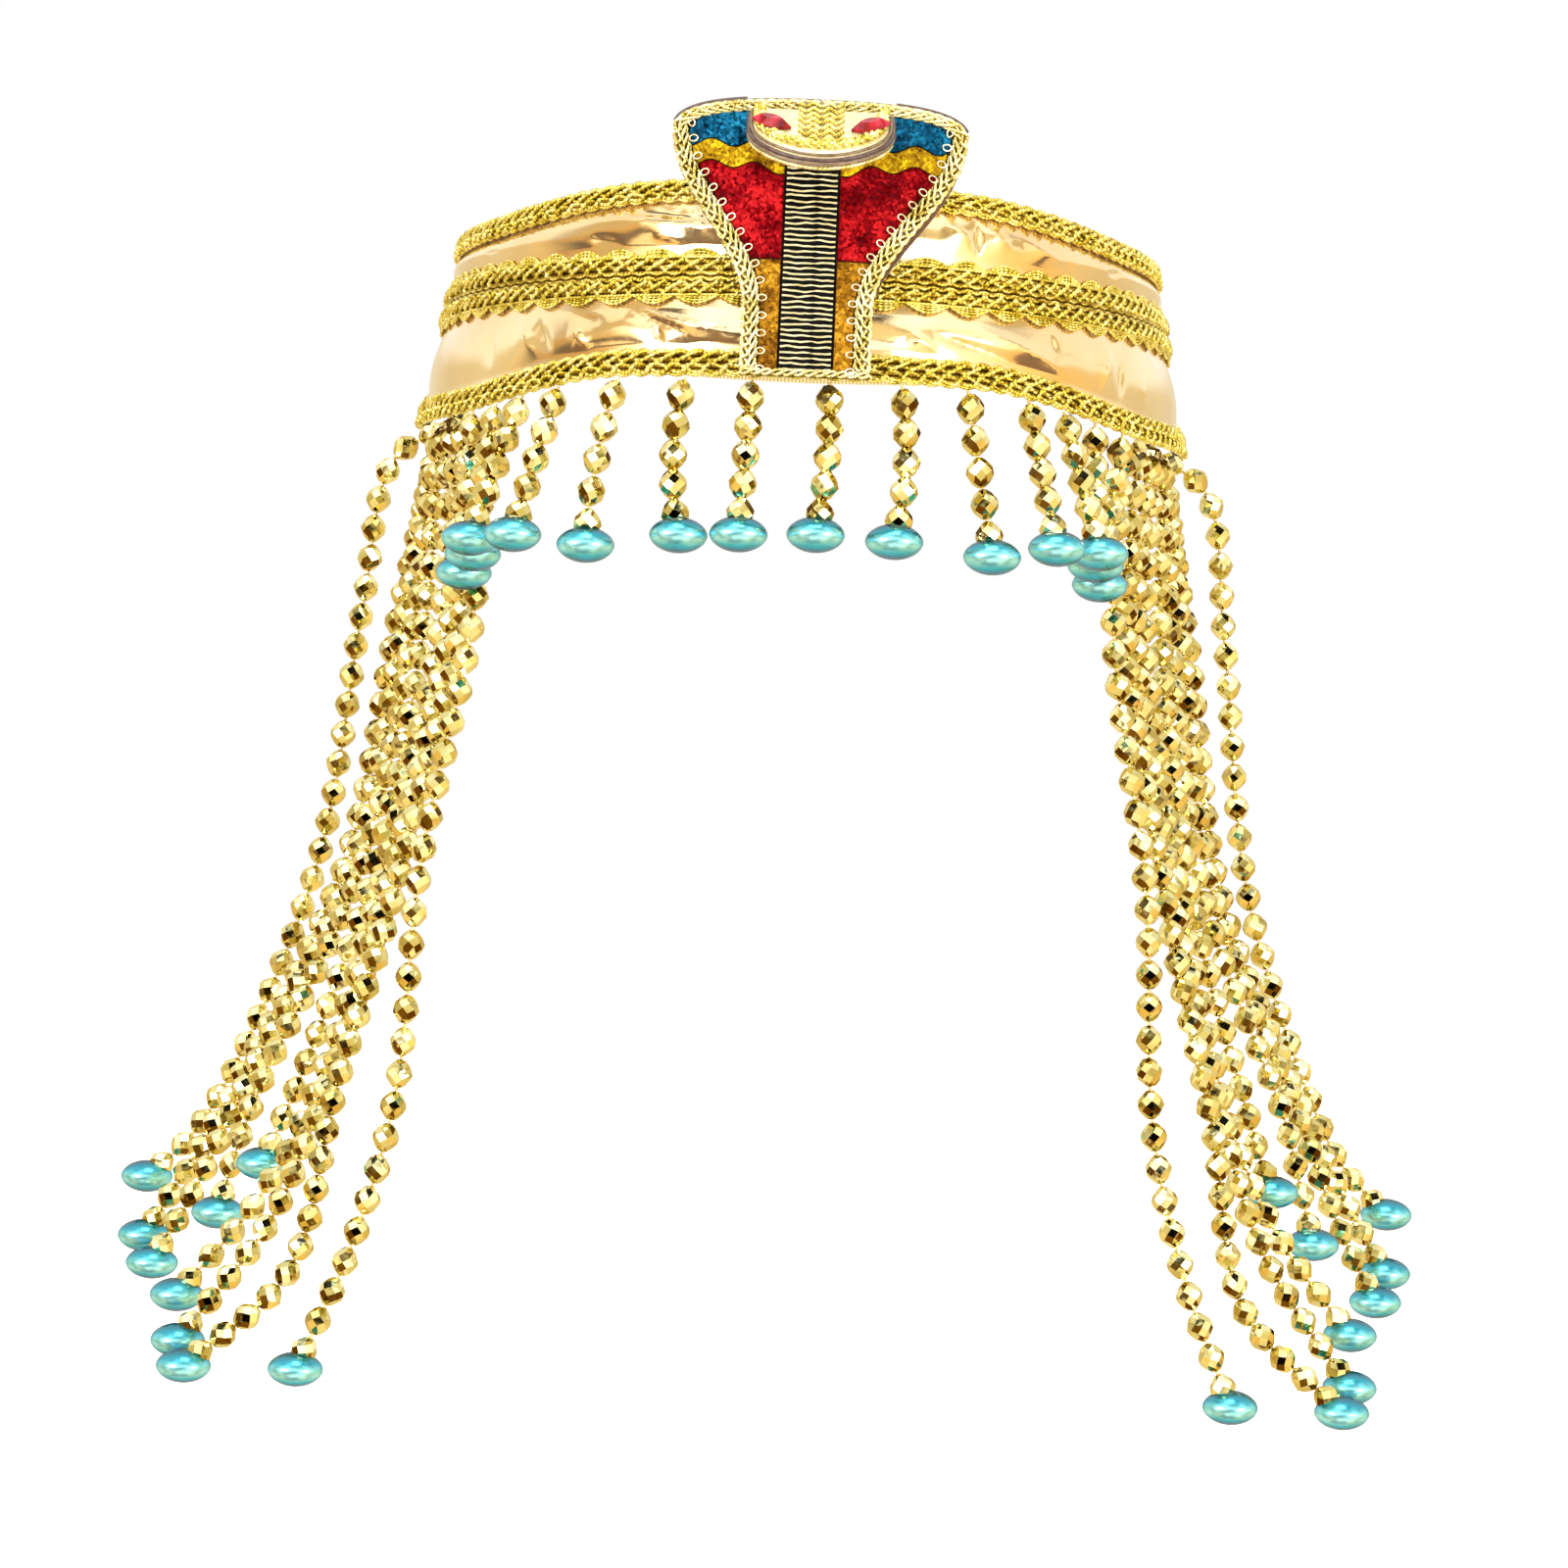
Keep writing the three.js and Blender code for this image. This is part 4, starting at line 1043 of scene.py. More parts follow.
def picot_tree():
    """Small yarn rings set along a guide, flat on the surface that it lies on."""
    tree, given = open_tree("picots", [
        ("Guide", "Geometry"), ("Count", "Int"), ("Half length", "Float"), ("Roundness", "Float"),
        ("Yarn radius", "Float"), ("Material", "Material"),
    ])
    curve = add(tree, "GeometryNodeMeshToCurve", {0: given["Guide"]})
    places = add(tree, "GeometryNodeResampleCurve", {"Curve": curve, "Count": given["Count"]})
    loop = add(
        tree, "GeometryNodeCurvePrimitiveCircle",
        {"Resolution": PICOT_STEPS, "Radius": given["Half length"]},
    )
    scale = add(tree, "ShaderNodeCombineXYZ", {0: 1, 1: given["Roundness"], 2: 1})
    oval = add(tree, "GeometryNodeTransform", {0: loop, "Scale": scale})
    section = add(
        tree, "GeometryNodeCurvePrimitiveCircle", {"Resolution": YARN_SIDES, "Radius": given["Yarn radius"]}
    )
    ring = add(tree, "GeometryNodeCurveToMesh", {0: oval, 1: section})
    smooth = add(tree, "GeometryNodeSetShadeSmooth", {0: ring})
    outward = add(tree, "GeometryNodeInputNamedAttribute", {"Name": "outward"}, data_type="FLOAT_VECTOR")
    upward = add(tree, "GeometryNodeInputNamedAttribute", {"Name": "upward"}, data_type="FLOAT_VECTOR")
    facing = add(tree, "FunctionNodeAlignRotationToVector", {"Vector": outward}, axis="Z")
    pointing = add(
        tree, "FunctionNodeAlignRotationToVector", {"Rotation": facing, "Vector": upward},
        axis="X", pivot_axis="Z",
    )
    rings = add(
        tree, "GeometryNodeInstanceOnPoints", {0: places, "Instance": smooth, "Rotation": pointing}
    )
    close_tree(tree, (rings, given["Material"]))
    return tree


def rib_tree():
    """Wavering cords laid side by side across a guide, pinched where a seam crosses them."""
    tree, given = open_tree("belly ribs", [
        ("Guide", "Geometry"), ("Count", "Int"), ("Half width", "Float"), ("Radius", "Float"),
        ("Waver", "Float"), ("Seam", "Float"), ("Material", "Material"),
    ])
    curve = add(tree, "GeometryNodeMeshToCurve", {0: given["Guide"]})
    places = add(tree, "GeometryNodeResampleCurve", {"Curve": curve, "Count": given["Count"]})
    numbered = add(
        tree, "GeometryNodeStoreNamedAttribute",
        {0: places, "Name": "rib", "Value": add(tree, "GeometryNodeInputIndex")},
        data_type="FLOAT", domain="POINT",
    )
    left = add(tree, "ShaderNodeMath", {0: given["Half width"], 1: -1}, operation="MULTIPLY")
    start = add(tree, "ShaderNodeCombineXYZ", {0: left})
    end = add(tree, "ShaderNodeCombineXYZ", {0: given["Half width"]})
    line = add(tree, "GeometryNodeCurvePrimitiveLine", {"Start": start, "End": end})
    fine = add(tree, "GeometryNodeResampleCurve", {"Curve": line, "Count": RIB_STEPS})
    ribs = add(tree, "GeometryNodeInstanceOnPoints", {0: numbered, "Instance": fine})
    real = add(tree, "GeometryNodeRealizeInstances", {0: ribs})
    spot = add(tree, "GeometryNodeInputPosition")
    x = add(tree, "ShaderNodeSeparateXYZ", {0: spot}).outputs["X"]
    rib = add(tree, "GeometryNodeInputNamedAttribute", {"Name": "rib"}, data_type="FLOAT")
    far = add(tree, "ShaderNodeMath", {0: x, 1: per_mm(RIB_WAVER_LENGTH)}, operation="MULTIPLY")
    apart = add(tree, "ShaderNodeMath", {0: rib, 1: RIB_WAVER_STEP}, operation="MULTIPLY")
    sample = add(tree, "ShaderNodeCombineXYZ", {0: far, 1: apart})
    chance = add(tree, "ShaderNodeTexNoise", {"Vector": sample, "Scale": 1, "Detail": 1})
    rise = add(tree, "ShaderNodeMath", {0: chance, 1: -0.5}, operation="ADD")
    swing = add(tree, "ShaderNodeMath", {0: rise, 1: given["Waver"]}, operation="MULTIPLY")
    offset = add(tree, "ShaderNodeCombineXYZ", {2: swing})
    wavy = add(tree, "GeometryNodeSetPosition", {0: real, "Offset": offset})
    aside = add(tree, "ShaderNodeMath", {0: x, 1: given["Seam"]}, operation="SUBTRACT")
    widths = add(tree, "ShaderNodeMath", {0: aside, 1: per_mm(RIB_SEAM_WIDTH)}, operation="MULTIPLY")
    square = add(tree, "ShaderNodeMath", {0: widths, 1: 2}, operation="POWER")
    bell = add(tree, "ShaderNodeMath", {0: square, 1: 1}, operation="ADD")
    pinch = add(tree, "ShaderNodeMath", {0: -RIB_PINCH, 1: bell}, operation="DIVIDE")
    thick = add(tree, "ShaderNodeMath", {0: pinch, 1: 1}, operation="ADD")
    section = add(
        tree, "GeometryNodeCurvePrimitiveCircle", {"Resolution": RIB_SIDES, "Radius": given["Radius"]}
    )
    tube = add(tree, "GeometryNodeCurveToMesh", {0: wavy, 1: section, "Scale": thick, "Fill Caps": True})
    smooth = add(tree, "GeometryNodeSetShadeSmooth", {0: tube})
    close_tree(tree, (smooth, given["Material"]))
    return tree


# Yarns of the braids: lists of coats and sizes

def cord(offset, radius, rise, coat="Material"):
    """One straight yarn."""
    return [(coat, {"radius": radius, "offset": offset, "rise": rise, "steps": CORD_STEPS})]


def ground(offsets, radius, rise):
    """Straight yarns under the loops; on the braids a shaded gimp paints the shade in their holes."""
    return [yarn for offset in offsets for yarn in cord(offset, radius, rise, "Ground")]


def figure_eights(offset, width, radius, rise, rounding=0, slant=0):
    """Two yarns that pass over and under each other in a row of loops, round or slanted."""
    return [
        ("Material", {
            "radius": radius, "offset": offset, "rise": rise, "across": sign * width, "across_waves": 1,
            "along": rounding + sign * slant, "along_waves": 2 if rounding else 1,
            "lift": sign * radius, "lift_waves": 1, "lift_phase": 90,
        })
        for sign in (-1, 1)
    ]


def scallops(offset, depths, radius, rise, waves, phase=0):
    """Bowed yarns, one inside the other, along an edge."""
    return [
        ("Material", {
            "radius": radius, "offset": offset, "rise": rise + SCALLOP_STEP * place, "scallop": 1,
            "across": depth, "across_waves": waves, "across_phase": phase,
        })
        for place, depth in enumerate(depths)
    ]


def stitched(yarns):
    """The same yarns, thick and thin by turns, as small stitches make them."""
    stitch = {"thickening": STITCH_THICKENING, "steps": 2 * YARN_STEPS}
    return [(coat, {**sizes, **stitch}) for coat, sizes in yarns]


def plait(offset, width, radius, rise):
    """Three yarns plaited flat."""
    return [
        ("Material", {
            "radius": radius, "offset": offset, "rise": rise, "across": width, "across_waves": 1,
            "across_phase": phase, "lift": PLAIT_LIFT * radius, "lift_waves": 2, "lift_phase": 2 * phase,
        })
        for phase in (0, 120, 240)
    ]


def set_braid(name, path, yarns, slot, node, **values):
    """A piece of yarns along a guide, with the values that its tree takes."""
    set_piece(name, grown(name, path, braid_tree(name, yarns), values), [node])


# Pieces of the band

def cloth_puff(angle, zone, share):
    """How far the cloth stands out: puffed between its seams, with small ripples where it is slack."""
    low, high = BARE_ZONES[zone]
    slack = 1 - smooth_step(abs(angle), SLACK_FROM, SLACK_TO)
    along = angle * FOLD_ARC / RIPPLE_LENGTH
    up = share * (high - low) / RIPPLE_WIDTH
    ripple = noise.noise(Vector((along, up, RIPPLE_ZONE_STEP * zone)))
    swell = PUFF + mix(SIDE_RIPPLE, RIPPLE, slack) * ripple
    return swell * math.sin(math.pi * share)


def crease(angle, zone, share):
    """How far the sharp creases move the cloth: each is steeper on one side and fades at its tips."""
    low, high = BARE_ZONES[zone]
    here = Vector((angle * FOLD_ARC, share * (high - low)))
    swell = 0
    for fold_zone, start, end, width, depth in FOLDS:
        if fold_zone == zone:
            first = Vector((start[0] * FOLD_ARC, start[1] * (high - low)))
            line = Vector((end[0] * FOLD_ARC, end[1] * (high - low))) - first
            along = clamp((here - first).dot(line) / line.length_squared)
            away = here - first - line * along
            reach = width * (FOLD_STEEP if line.cross(away) > 0 else FOLD_GENTLE)
            taper = math.sin(math.pi * mix(FOLD_TIP, 1 - FOLD_TIP, along))
            swell += FOLD_DEPTH * depth * taper * math.exp(-away.length / reach)
    return swell * math.sin(math.pi * share)


def band_rows():
    """The band's rows from its lower edge up: height, zone or None, share of that zone."""
    rows = [(mix(BAND_FOOT, BARE_ZONES[0][0], step / HIDDEN_ROWS), None, 0) for step in range(HIDDEN_ROWS)]
    for zone, (low, high) in enumerate(BARE_ZONES):
        for step in range(ZONE_ROWS + 1):
            rows.append((mix(low, high, step / ZONE_ROWS), zone, step / ZONE_ROWS))
        after = BARE_ZONES[zone + 1][0] if zone + 1 < len(BARE_ZONES) else BAND_HEIGHT
        rows.extend((mix(high, after, step / HIDDEN_ROWS), None, 0) for step in range(1, HIDDEN_ROWS))
    return [*rows, (BAND_HEIGHT, None, 0)]


def band_point(angle, height, out):
    """A point on the band, whose rows follow its slanted ends and its raised front."""
    (low, low_top), (high, high_top) = BARE_ZONES
    lift = lower_edge(angle) * clamp((low_top - height) / (low_top - low))
    stretch = upper_edge(angle) * clamp((height - high) / (high_top - high))
    return ring_point(angle, height + lift + stretch, out)


def band_angle(share):
    return mix(-BAND_END_ANGLE, BAND_END_ANGLE, share)


def buckled(points, columns, seams, slack):
    """Lets slack cloth buckle between its seams, and returns its points."""
    rows = len(points) // (columns + 1)
    faces = []
    for row in range(rows - 1):
        for column in range(columns):
            first = row * (columns + 1) + column
            faces.append((first, first + 1, first + columns + 2, first + columns + 1))
    mesh = bpy.data.meshes.new("slack_cloth")
    mesh.from_pydata([point * BUCKLE_SCALE for point in points], [], faces)
    cloth = new_object("slack_cloth", mesh)
    for name, weights in (("seams", seams), ("slack", slack)):
        group = cloth.vertex_groups.new(name=name)
        for place, weight in enumerate(weights):
            group.add([place], weight, "REPLACE")
    modifier = cloth.modifiers.new("buckle", "CLOTH")
    settings = modifier.settings
    settings.quality = 5
    settings.mass = 0.3
    settings.tension_stiffness = 20
    settings.compression_stiffness = 20
    settings.shear_stiffness = 8
    settings.bending_stiffness = 0.1
    settings.vertex_group_mass = "seams"
    settings.vertex_group_shrink = "slack"
    settings.shrink_min = 0
    settings.shrink_max = SLACK_GROWTH
    settings.effector_weights.gravity = 0
    modifier.collision_settings.use_collision = False
    modifier.point_cache.frame_end = BUCKLE_FRAMES
    for step in range(1, BUCKLE_FRAMES + 1):
        bpy.context.scene.frame_set(step)
    evaluated = cloth.evaluated_get(bpy.context.evaluated_depsgraph_get())
    settled = [vertex.co / BUCKLE_SCALE for vertex in evaluated.data.vertices]
    bpy.data.objects.remove(cloth)
    bpy.context.scene.frame_set(1)
    return settled


def make_band(material, lining):
    rows = band_rows()
    top = len(rows) - 1
    points = []
    seams = []
    slack = []
    for height, zone, share in rows:
        for column in range(BAND_COLUMNS + 1):
            angle = band_angle(column / BAND_COLUMNS)
            ends = 1 - slant_share(angle)
            puff = cloth_puff(angle, zone, share) * ends if zone is not None else 0
            points.append(band_point(angle, height, puff))
            seams.append(0 if zone is not None and 0 < share < 1 else 1)
            slack.append(1 - smooth_step(abs(angle), SLACK_FROM, SLACK_TO))
    points = buckled(points, BAND_COLUMNS, seams, slack)
    for row, (height, zone, share) in enumerate(rows):
        for column in range(BAND_COLUMNS + 1 if zone is not None else 0):
            angle = band_angle(column / BAND_COLUMNS)
            outward = band_point(angle, height, 1) - band_point(angle, height, 0)
            points[row * (BAND_COLUMNS + 1) + column] += outward * crease(angle, zone, share)
    wide = line_length([ring_point(band_angle(step / RING_STEPS), 0) for step in range(RING_STEPS + 1)])

    def front(across, up):
        return points[round(up * top) * (BAND_COLUMNS + 1) + round(across * BAND_COLUMNS)]

    def back(across, up):
        return band_point(band_angle(across), rows[round(up * top)][0], -BAND_WALL)

    mesh = closed_wall("band_cloth", BAND_COLUMNS, top, front, back, (wide, BAND_HEIGHT))
    mesh.materials.append(material)
    mesh.materials.append(lining)
    for face in mesh.polygons:
        outside = face.index < 2 * BAND_COLUMNS * top and face.index % 2 == 0
        face.material_index = 0 if outside else 1
    band = set_piece("band_cloth", mesh, ["band"])


def ring_guide(height, edge):
    """A guide round the band at a height that follows one of its edges, and its length."""
    angles = [band_angle(step / RING_STEPS) for step in range(RING_STEPS + 1)]
    points = [ring_point(angle, height + edge(angle)) for angle in angles]
    outward = [ring_point(angle, height, 1) - ring_point(angle, height) for angle in angles]
    upward = [(ring_point(angle, height + 1) - ring_point(angle, height)).normalized() for angle in angles]
    return guide([points], outward=outward, upward=upward), line_length(points)


def edge_yarns(share):
    """Two rows of loops with a scalloped edge on each side, for a braid of that share of full width."""
    yarns = ground([share * offset for offset in (-1.9, -0.65, 0.65, 1.9)], radius=0.6, rise=0.4)
    for side in (-1, 1):
        loops = figure_eights(1.25 * side * share, width=share, radius=0.42, rise=1, slant=0.6 * side)
        yarns += stitched(loops)
        yarns += scallops(2.1 * side * share, (0.55 * side,), radius=0.34, rise=0.55, waves=1)
    return yarns


def middle_yarns(outer):
    """One row of loops, small scallops inside and wide stitched lobes on the outer side."""
    lobes = [outer * depth for depth in (0.5, 1.1, 1.7)]
    return (
        ground([-outer * offset for offset in (2.5, 1.2, 0.2)], radius=0.6, rise=0.4)
        + scallops(-2.1 * outer, (-0.75 * outer,), radius=0.3, rise=0.7, waves=1, phase=45 + 45 * outer)
        + stitched(figure_eights(-0.85 * outer, width=1.3, radius=0.43, rise=1, rounding=0.6))
        + cord(0.75 * outer, radius=0.32, rise=0.8)
        + stitched(scallops(0.75 * outer, lobes, radius=0.27, rise=0.45, waves=0.42))
    )


def make_band_braids(coats):
    for node, low, high, edge, yarns in (
        ("bottom_braid", -BAND_FOOT, BOTTOM_BRAID_HIGH, lower_edge, edge_yarns(1)),
        ("top_braid", TOP_BRAID_LOW + TOP_BRAID_LIFT, BAND_HEIGHT, upper_edge, edge_yarns(TOP_BRAID_SHARE)),
        ("middle_braid_lower", *MIDDLE_LOWER, level_edge, middle_yarns(-1)),
        ("middle_braid_upper", *MIDDLE_UPPER, level_edge, middle_yarns(1)),
    ):
        path, length = ring_guide((low + high) / 2, edge)
        repeats = round(length / EDGE_BRAID_REPEAT)
        set_braid(node + "_yarn", path, yarns, "gold_braid", node, Repeats=repeats, **coats)


def make_elastic(material):
    outside = -BAND_WALL - GAP
    wide = ELASTIC_HIGH - ELASTIC_LOW
    columns = ELASTIC_COLUMNS
    rows = ELASTIC_RIBS * ELASTIC_RIB_ROWS

    def surface(out, sign):
        def at(across, up):
            angle = mix(ELASTIC_START_ANGLE, 360 - ELASTIC_START_ANGLE, across)
            ridge = ELASTIC_RIB_DEPTH * abs(math.sin(math.pi * ELASTIC_RIBS * up))
            return ring_point(angle, mix(ELASTIC_LOW, ELASTIC_HIGH, up), out + sign * ridge)
        return at

    length = line_length([surface(outside, 0)(step / columns, 0.5) for step in range(columns + 1)])
    front = surface(outside - ELASTIC_RIB_DEPTH, 1)
    back = surface(outside - ELASTIC_THICKNESS + ELASTIC_RIB_DEPTH, -1)
    mesh = closed_wall("elastic_strap", columns, rows, front, back, (length, wide))
    mesh.materials.append(material)
    strap = set_piece("elastic_strap", mesh, ["back_elastic"])


# Pieces of the cobra

def felt_edge_shadow(height):
    """How far the hood's dark felt shows beside the braid, on the right of its flare: its edge and a
    painted shadow line.
    """
    low, high = FELT_EDGE_SHADOW_HEIGHTS
    return FELT_EDGE_SHADOW * math.sin(math.pi * clamp((height - low) / (high - low)))


def make_hood(material):
    """The hood's plate."""
    rows = HOOD_ROWS

    def surface(forward):
        def at(across, up):
            height = (HOOD_TOP - GAP) * math.sin(up * math.pi / 2) ** HOOD_ROW_EASING
            half = hood_half_width(height)
            x = hood_centre(height) + mix(-half, half + felt_edge_shadow(height), across)
            return hood_point(x, height, forward)
        return at

    size = (2 * HOOD_HALF_WIDTH, HOOD_TOP)
    mesh = closed_wall("hood_plate", HOOD_COLUMNS, rows, surface(HOOD_THICKNESS), surface(0), size)
    mesh.materials.append(material)
    plate = set_piece("hood_plate", mesh, ["cobra_hood"])


def stripe_wave(x, height):
    """The seams beside the yellow stripe are wavy. The waves begin and end in its neighbours."""
    below, above = PANELS[1], PANELS[3]
    rise = smooth_step(height, below[1], below[2])
    fall = 1 - smooth_step(height, above[1], above[2])
    slope = STRIPE_FALL * (smooth_step(x, BELLY_HALF_WIDTH, HOOD_HALF_WIDTH / 2) - 1)
    return rise * fall * (STRIPE_WAVE * math.sin(2 * math.pi * x / STRIPE_WAVE_LENGTH) + slope)


def make_panel(panel, side, sign, material):
    name, low, high, slot = panel
    inner = BELLY_HALF_WIDTH + GAP
    rows = PANEL_ROWS

    def outer(height):
        return cloth_half_width(height) + sign * hood_centre(height)

    def surface(forward, puff):
        def at(across, up):
            height = mix(low, high, up)
            x = mix(inner, outer(height), across if sign > 0 else 1 - across)
            bulge = puff * math.sin(math.pi * across) * math.sin(math.pi * up)
            return hood_point(sign * x, height + stripe_wave(x, height), forward + bulge)
        return at

    widths = [outer(mix(low, high, (row + 0.5) / rows)) - inner for row in range(rows)]
    size = (max(widths), high - low)
    front = surface(PANEL_BACK + PANEL_THICKNESS, PANEL_PUFF)
    mesh = closed_wall(f"{name}_cloth_{side}", PANEL_COLUMNS, rows, front, surface(PANEL_BACK, 0), size)
    mesh.materials.append(material)
    piece = set_piece(mesh.name, mesh, [f"{name}_{side}"])
    if min(size) < SMALLEST_SHEET:
        return [piece]
    return []


def hood_line(sign, inset, forward, start, end):
    """A line along the hood's outline, set in from it: its points, their outward and inward directions."""
    outline = []
    for step in range(HOOD_LINE_STEPS + 1):
        height = mix(PANEL_FOOT, HOOD_WIDEST, step / HOOD_LINE_STEPS)
        outline.append(Vector((hood_half_width(height), height)))
    for step in range(1, CROWN_LINE_STEPS + 1):
        turn = math.pi / 2 * (1 - (1 - step / CROWN_LINE_STEPS) ** 2)
        power = 2 / HOOD_ROUNDING
        x = HOOD_HALF_WIDTH * max(math.cos(turn), 0) ** power
        outline.append(Vector((x, HOOD_WIDEST + (HOOD_TOP - HOOD_WIDEST) * math.sin(turn) ** power)))
    points = []
    outward = []
    inward = []
    for before, here, after in zip(outline, outline[1:], outline[2:]):
        tangent = (after - before).normalized()
        square = Vector((-tangent.y, tangent.x))
        narrow = top_narrowing(here.y)
        spot = here + square * inset * narrow
        if start <= spot.y <= end:
            x = sign * spot.x + hood_centre(spot.y)
            points.append(hood_point(x, spot.y, forward))
            outward.append(hood_normal(x, spot.y))
            step_in = hood_point(x + sign * square.x, spot.y + square.y, forward) - points[-1]
            inward.append(step_in.normalized() * narrow)
    return points, outward, inward


def make_hood_braid(side, sign, coats):
    node = f"hood_braid_{side}"
    points, outward, inward = hood_line(sign, HOOD_BRAID_WIDTH / 2, PANEL_BACK, 0, HOOD_TOP)
    path = guide([points], outward=outward, upward=inward)
    yarns = ground((-1.1, 0, 1.1), radius=0.55, rise=0.3)
    for row in (-1, 1):
        yarns += figure_eights(0.8 * row, width=0.65, radius=0.33, rise=0.95, slant=0.4 * row)
    for row in (-1, 1):
        yarns += scallops(1.3 * row, (0.3 * row,), radius=0.25, rise=0.6, waves=1)
    repeats = round(line_length(points) / HOOD_BRAID_REPEAT)
    set_braid(f"hood_braid_yarn_{side}", path, yarns, "gold_braid", node, Repeats=repeats, **coats)


def make_picots(side, sign, material):
    """The row of small loops along the inner edge of the hood's braid."""
    inset = HOOD_BRAID_WIDTH + PICOT_INSET
    forward = PANEL_BACK + PANEL_THICKNESS + PICOT_FORWARD
    points, outward, inward = hood_line(sign, inset, forward, PANEL_FOOT, CROWN_START)
    path = guide([points], outward=outward, upward=inward)
    name = f"hood_picots_{side}"
    mesh = grown(name, path, PICOT_TREE, {
        "Count": round(line_length(points) / PICOT_PITCH), "Half length": PICOT_HALF_LENGTH * MM,
        "Roundness": PICOT_ROUNDNESS, "Yarn radius": PICOT_YARN_RADIUS * MM, "Material": material,
    })
    set_piece(name, mesh, [f"hood_braid_{side}"])


def make_hood_piping(side, sign, coats):
    points, outward, inward = hood_line(sign, PIPING_INSET, HOOD_THICKNESS / 2, CROWN_START, PIPING_END)
    path = guide([points], outward=outward, upward=inward)
    yarns = cord(-0.1, radius=0.75, rise=0.3) + ground((0.9,), radius=0.35, rise=0.9)
    name = f"hood_piping_{side}"
    set_braid(name, path, yarns, "head_cloth", "cobra_hood", Repeats=PIPING_REPEATS, **coats)


def make_hood_foot(coats):
    """A short braid that closes the foot of the hood."""
    reach = STEM_HALF_WIDTH - GAP
    xs = [mix(-reach, reach, step / FOOT_BRAID_STEPS) for step in range(FOOT_BRAID_STEPS + 1)]
    points = [hood_point(x, FOOT_BRAID_HEIGHT, HOOD_THICKNESS) for x in xs]
    path = guide([points], outward=[hood_normal(x, 1) for x in xs], upward=[Vector((0, 0, 1))] * len(xs))
    yarns = ground((0, 0.3), radius=0.6, rise=0.4)
    yarns += figure_eights(0.2, width=0.5, radius=0.34, rise=1.1, slant=0.3)
    repeats = round(2 * reach / HOOD_BRAID_REPEAT)
    set_braid("hood_foot_braid", path, yarns, "gold_braid", "cobra_hood", Repeats=repeats, **coats)


def make_belly(backing, cords):
    size = (2 * BELLY_HALF_WIDTH, BELLY_TOP - PANEL_FOOT)

    def surface(forward):
        def at(across, up):
            return hood_point(BELLY_HALF_WIDTH * (2 * across - 1), mix(PANEL_FOOT, BELLY_TOP, up), forward)
        return at

    front = surface(PANEL_BACK + BELLY_GROUND)
    mesh = closed_wall("belly_ground", BELLY_COLUMNS, BELLY_ROWS, front, surface(PANEL_BACK), size)
    mesh.materials.append(backing)
    piece = set_piece("belly_ground", mesh, ["belly_ribbing"])
    forward = PANEL_BACK + BELLY_GROUND + RIB_RISE
    heights = [mix(RIB_START, RIB_END, step / BELLY_ROWS) for step in range(BELLY_ROWS + 1)]
    path = guide([[hood_point(0, height, forward) for height in heights]])
    mesh = grown("belly_ribs", path, rib_tree(), {
        "Count": RIB_COUNT, "Half width": RIB_HALF_WIDTH * MM, "Radius": RIB_RADIUS * MM,
        "Waver": RIB_WAVER * MM, "Seam": RIB_SEAM * MM, "Material": cords,
    })
    set_piece("belly_ribs", mesh, ["belly_ribbing"])


def make_head(material):
    """The head's pad: rings that shrink from its outline to its middle, above and below."""
    outline = head_outline()
    middle = Vector(PAD_MIDDLE)
    points = []
    for side in (1, -1):
        for share in PAD_SHARES:
            height = HEAD_RIM / 2 * math.sqrt(1 - share ** PAD_EDGE_POWER)
            above = -HEAD_PUFF - HEAD_RIM / 2 + side * height
            above += PAD_CROWN * (1 - share ** PAD_CROWN_POWER) if side > 0 else 0
            for corner in outline:
                spot = middle + (Vector(corner) - middle) * share
                points.append(head_point(spot.x, spot.y, above) * MM)
    count = len(outline)
    layers = len(PAD_SHARES)
    faces = []
    for side in (0, 1):
        for layer in range(layers - 1):
            for place in range(count):
                first = (side * layers + layer) * count + place
                after = (side * layers + layer) * count + (place + 1) % count
                face = [first, after, after + count, first + count]
                faces.append(face if side == 0 else face[::-1])
        inner = [(side * layers + layers - 1) * count + place for place in range(count)]
        faces.append(inner if side == 0 else inner[::-1])
    mesh = bpy.data.meshes.new("head_pad")
    mesh.from_pydata(points, [], faces)
    close_doubles(mesh)
    mesh.shade_smooth()
    mesh.materials.append(material)
    pad = set_piece("head_pad", mesh, ["cobra_head"])


def close_doubles(mesh):
    """Merges points that lie on each other and turns all faces outwards."""
    work = bmesh.new()
    work.from_mesh(mesh)
    bmesh.ops.remove_doubles(work, verts=work.verts, dist=0.01 * MM)
    bmesh.ops.recalc_face_normals(work, faces=work.faces)
    work.to_mesh(mesh)
    work.free()


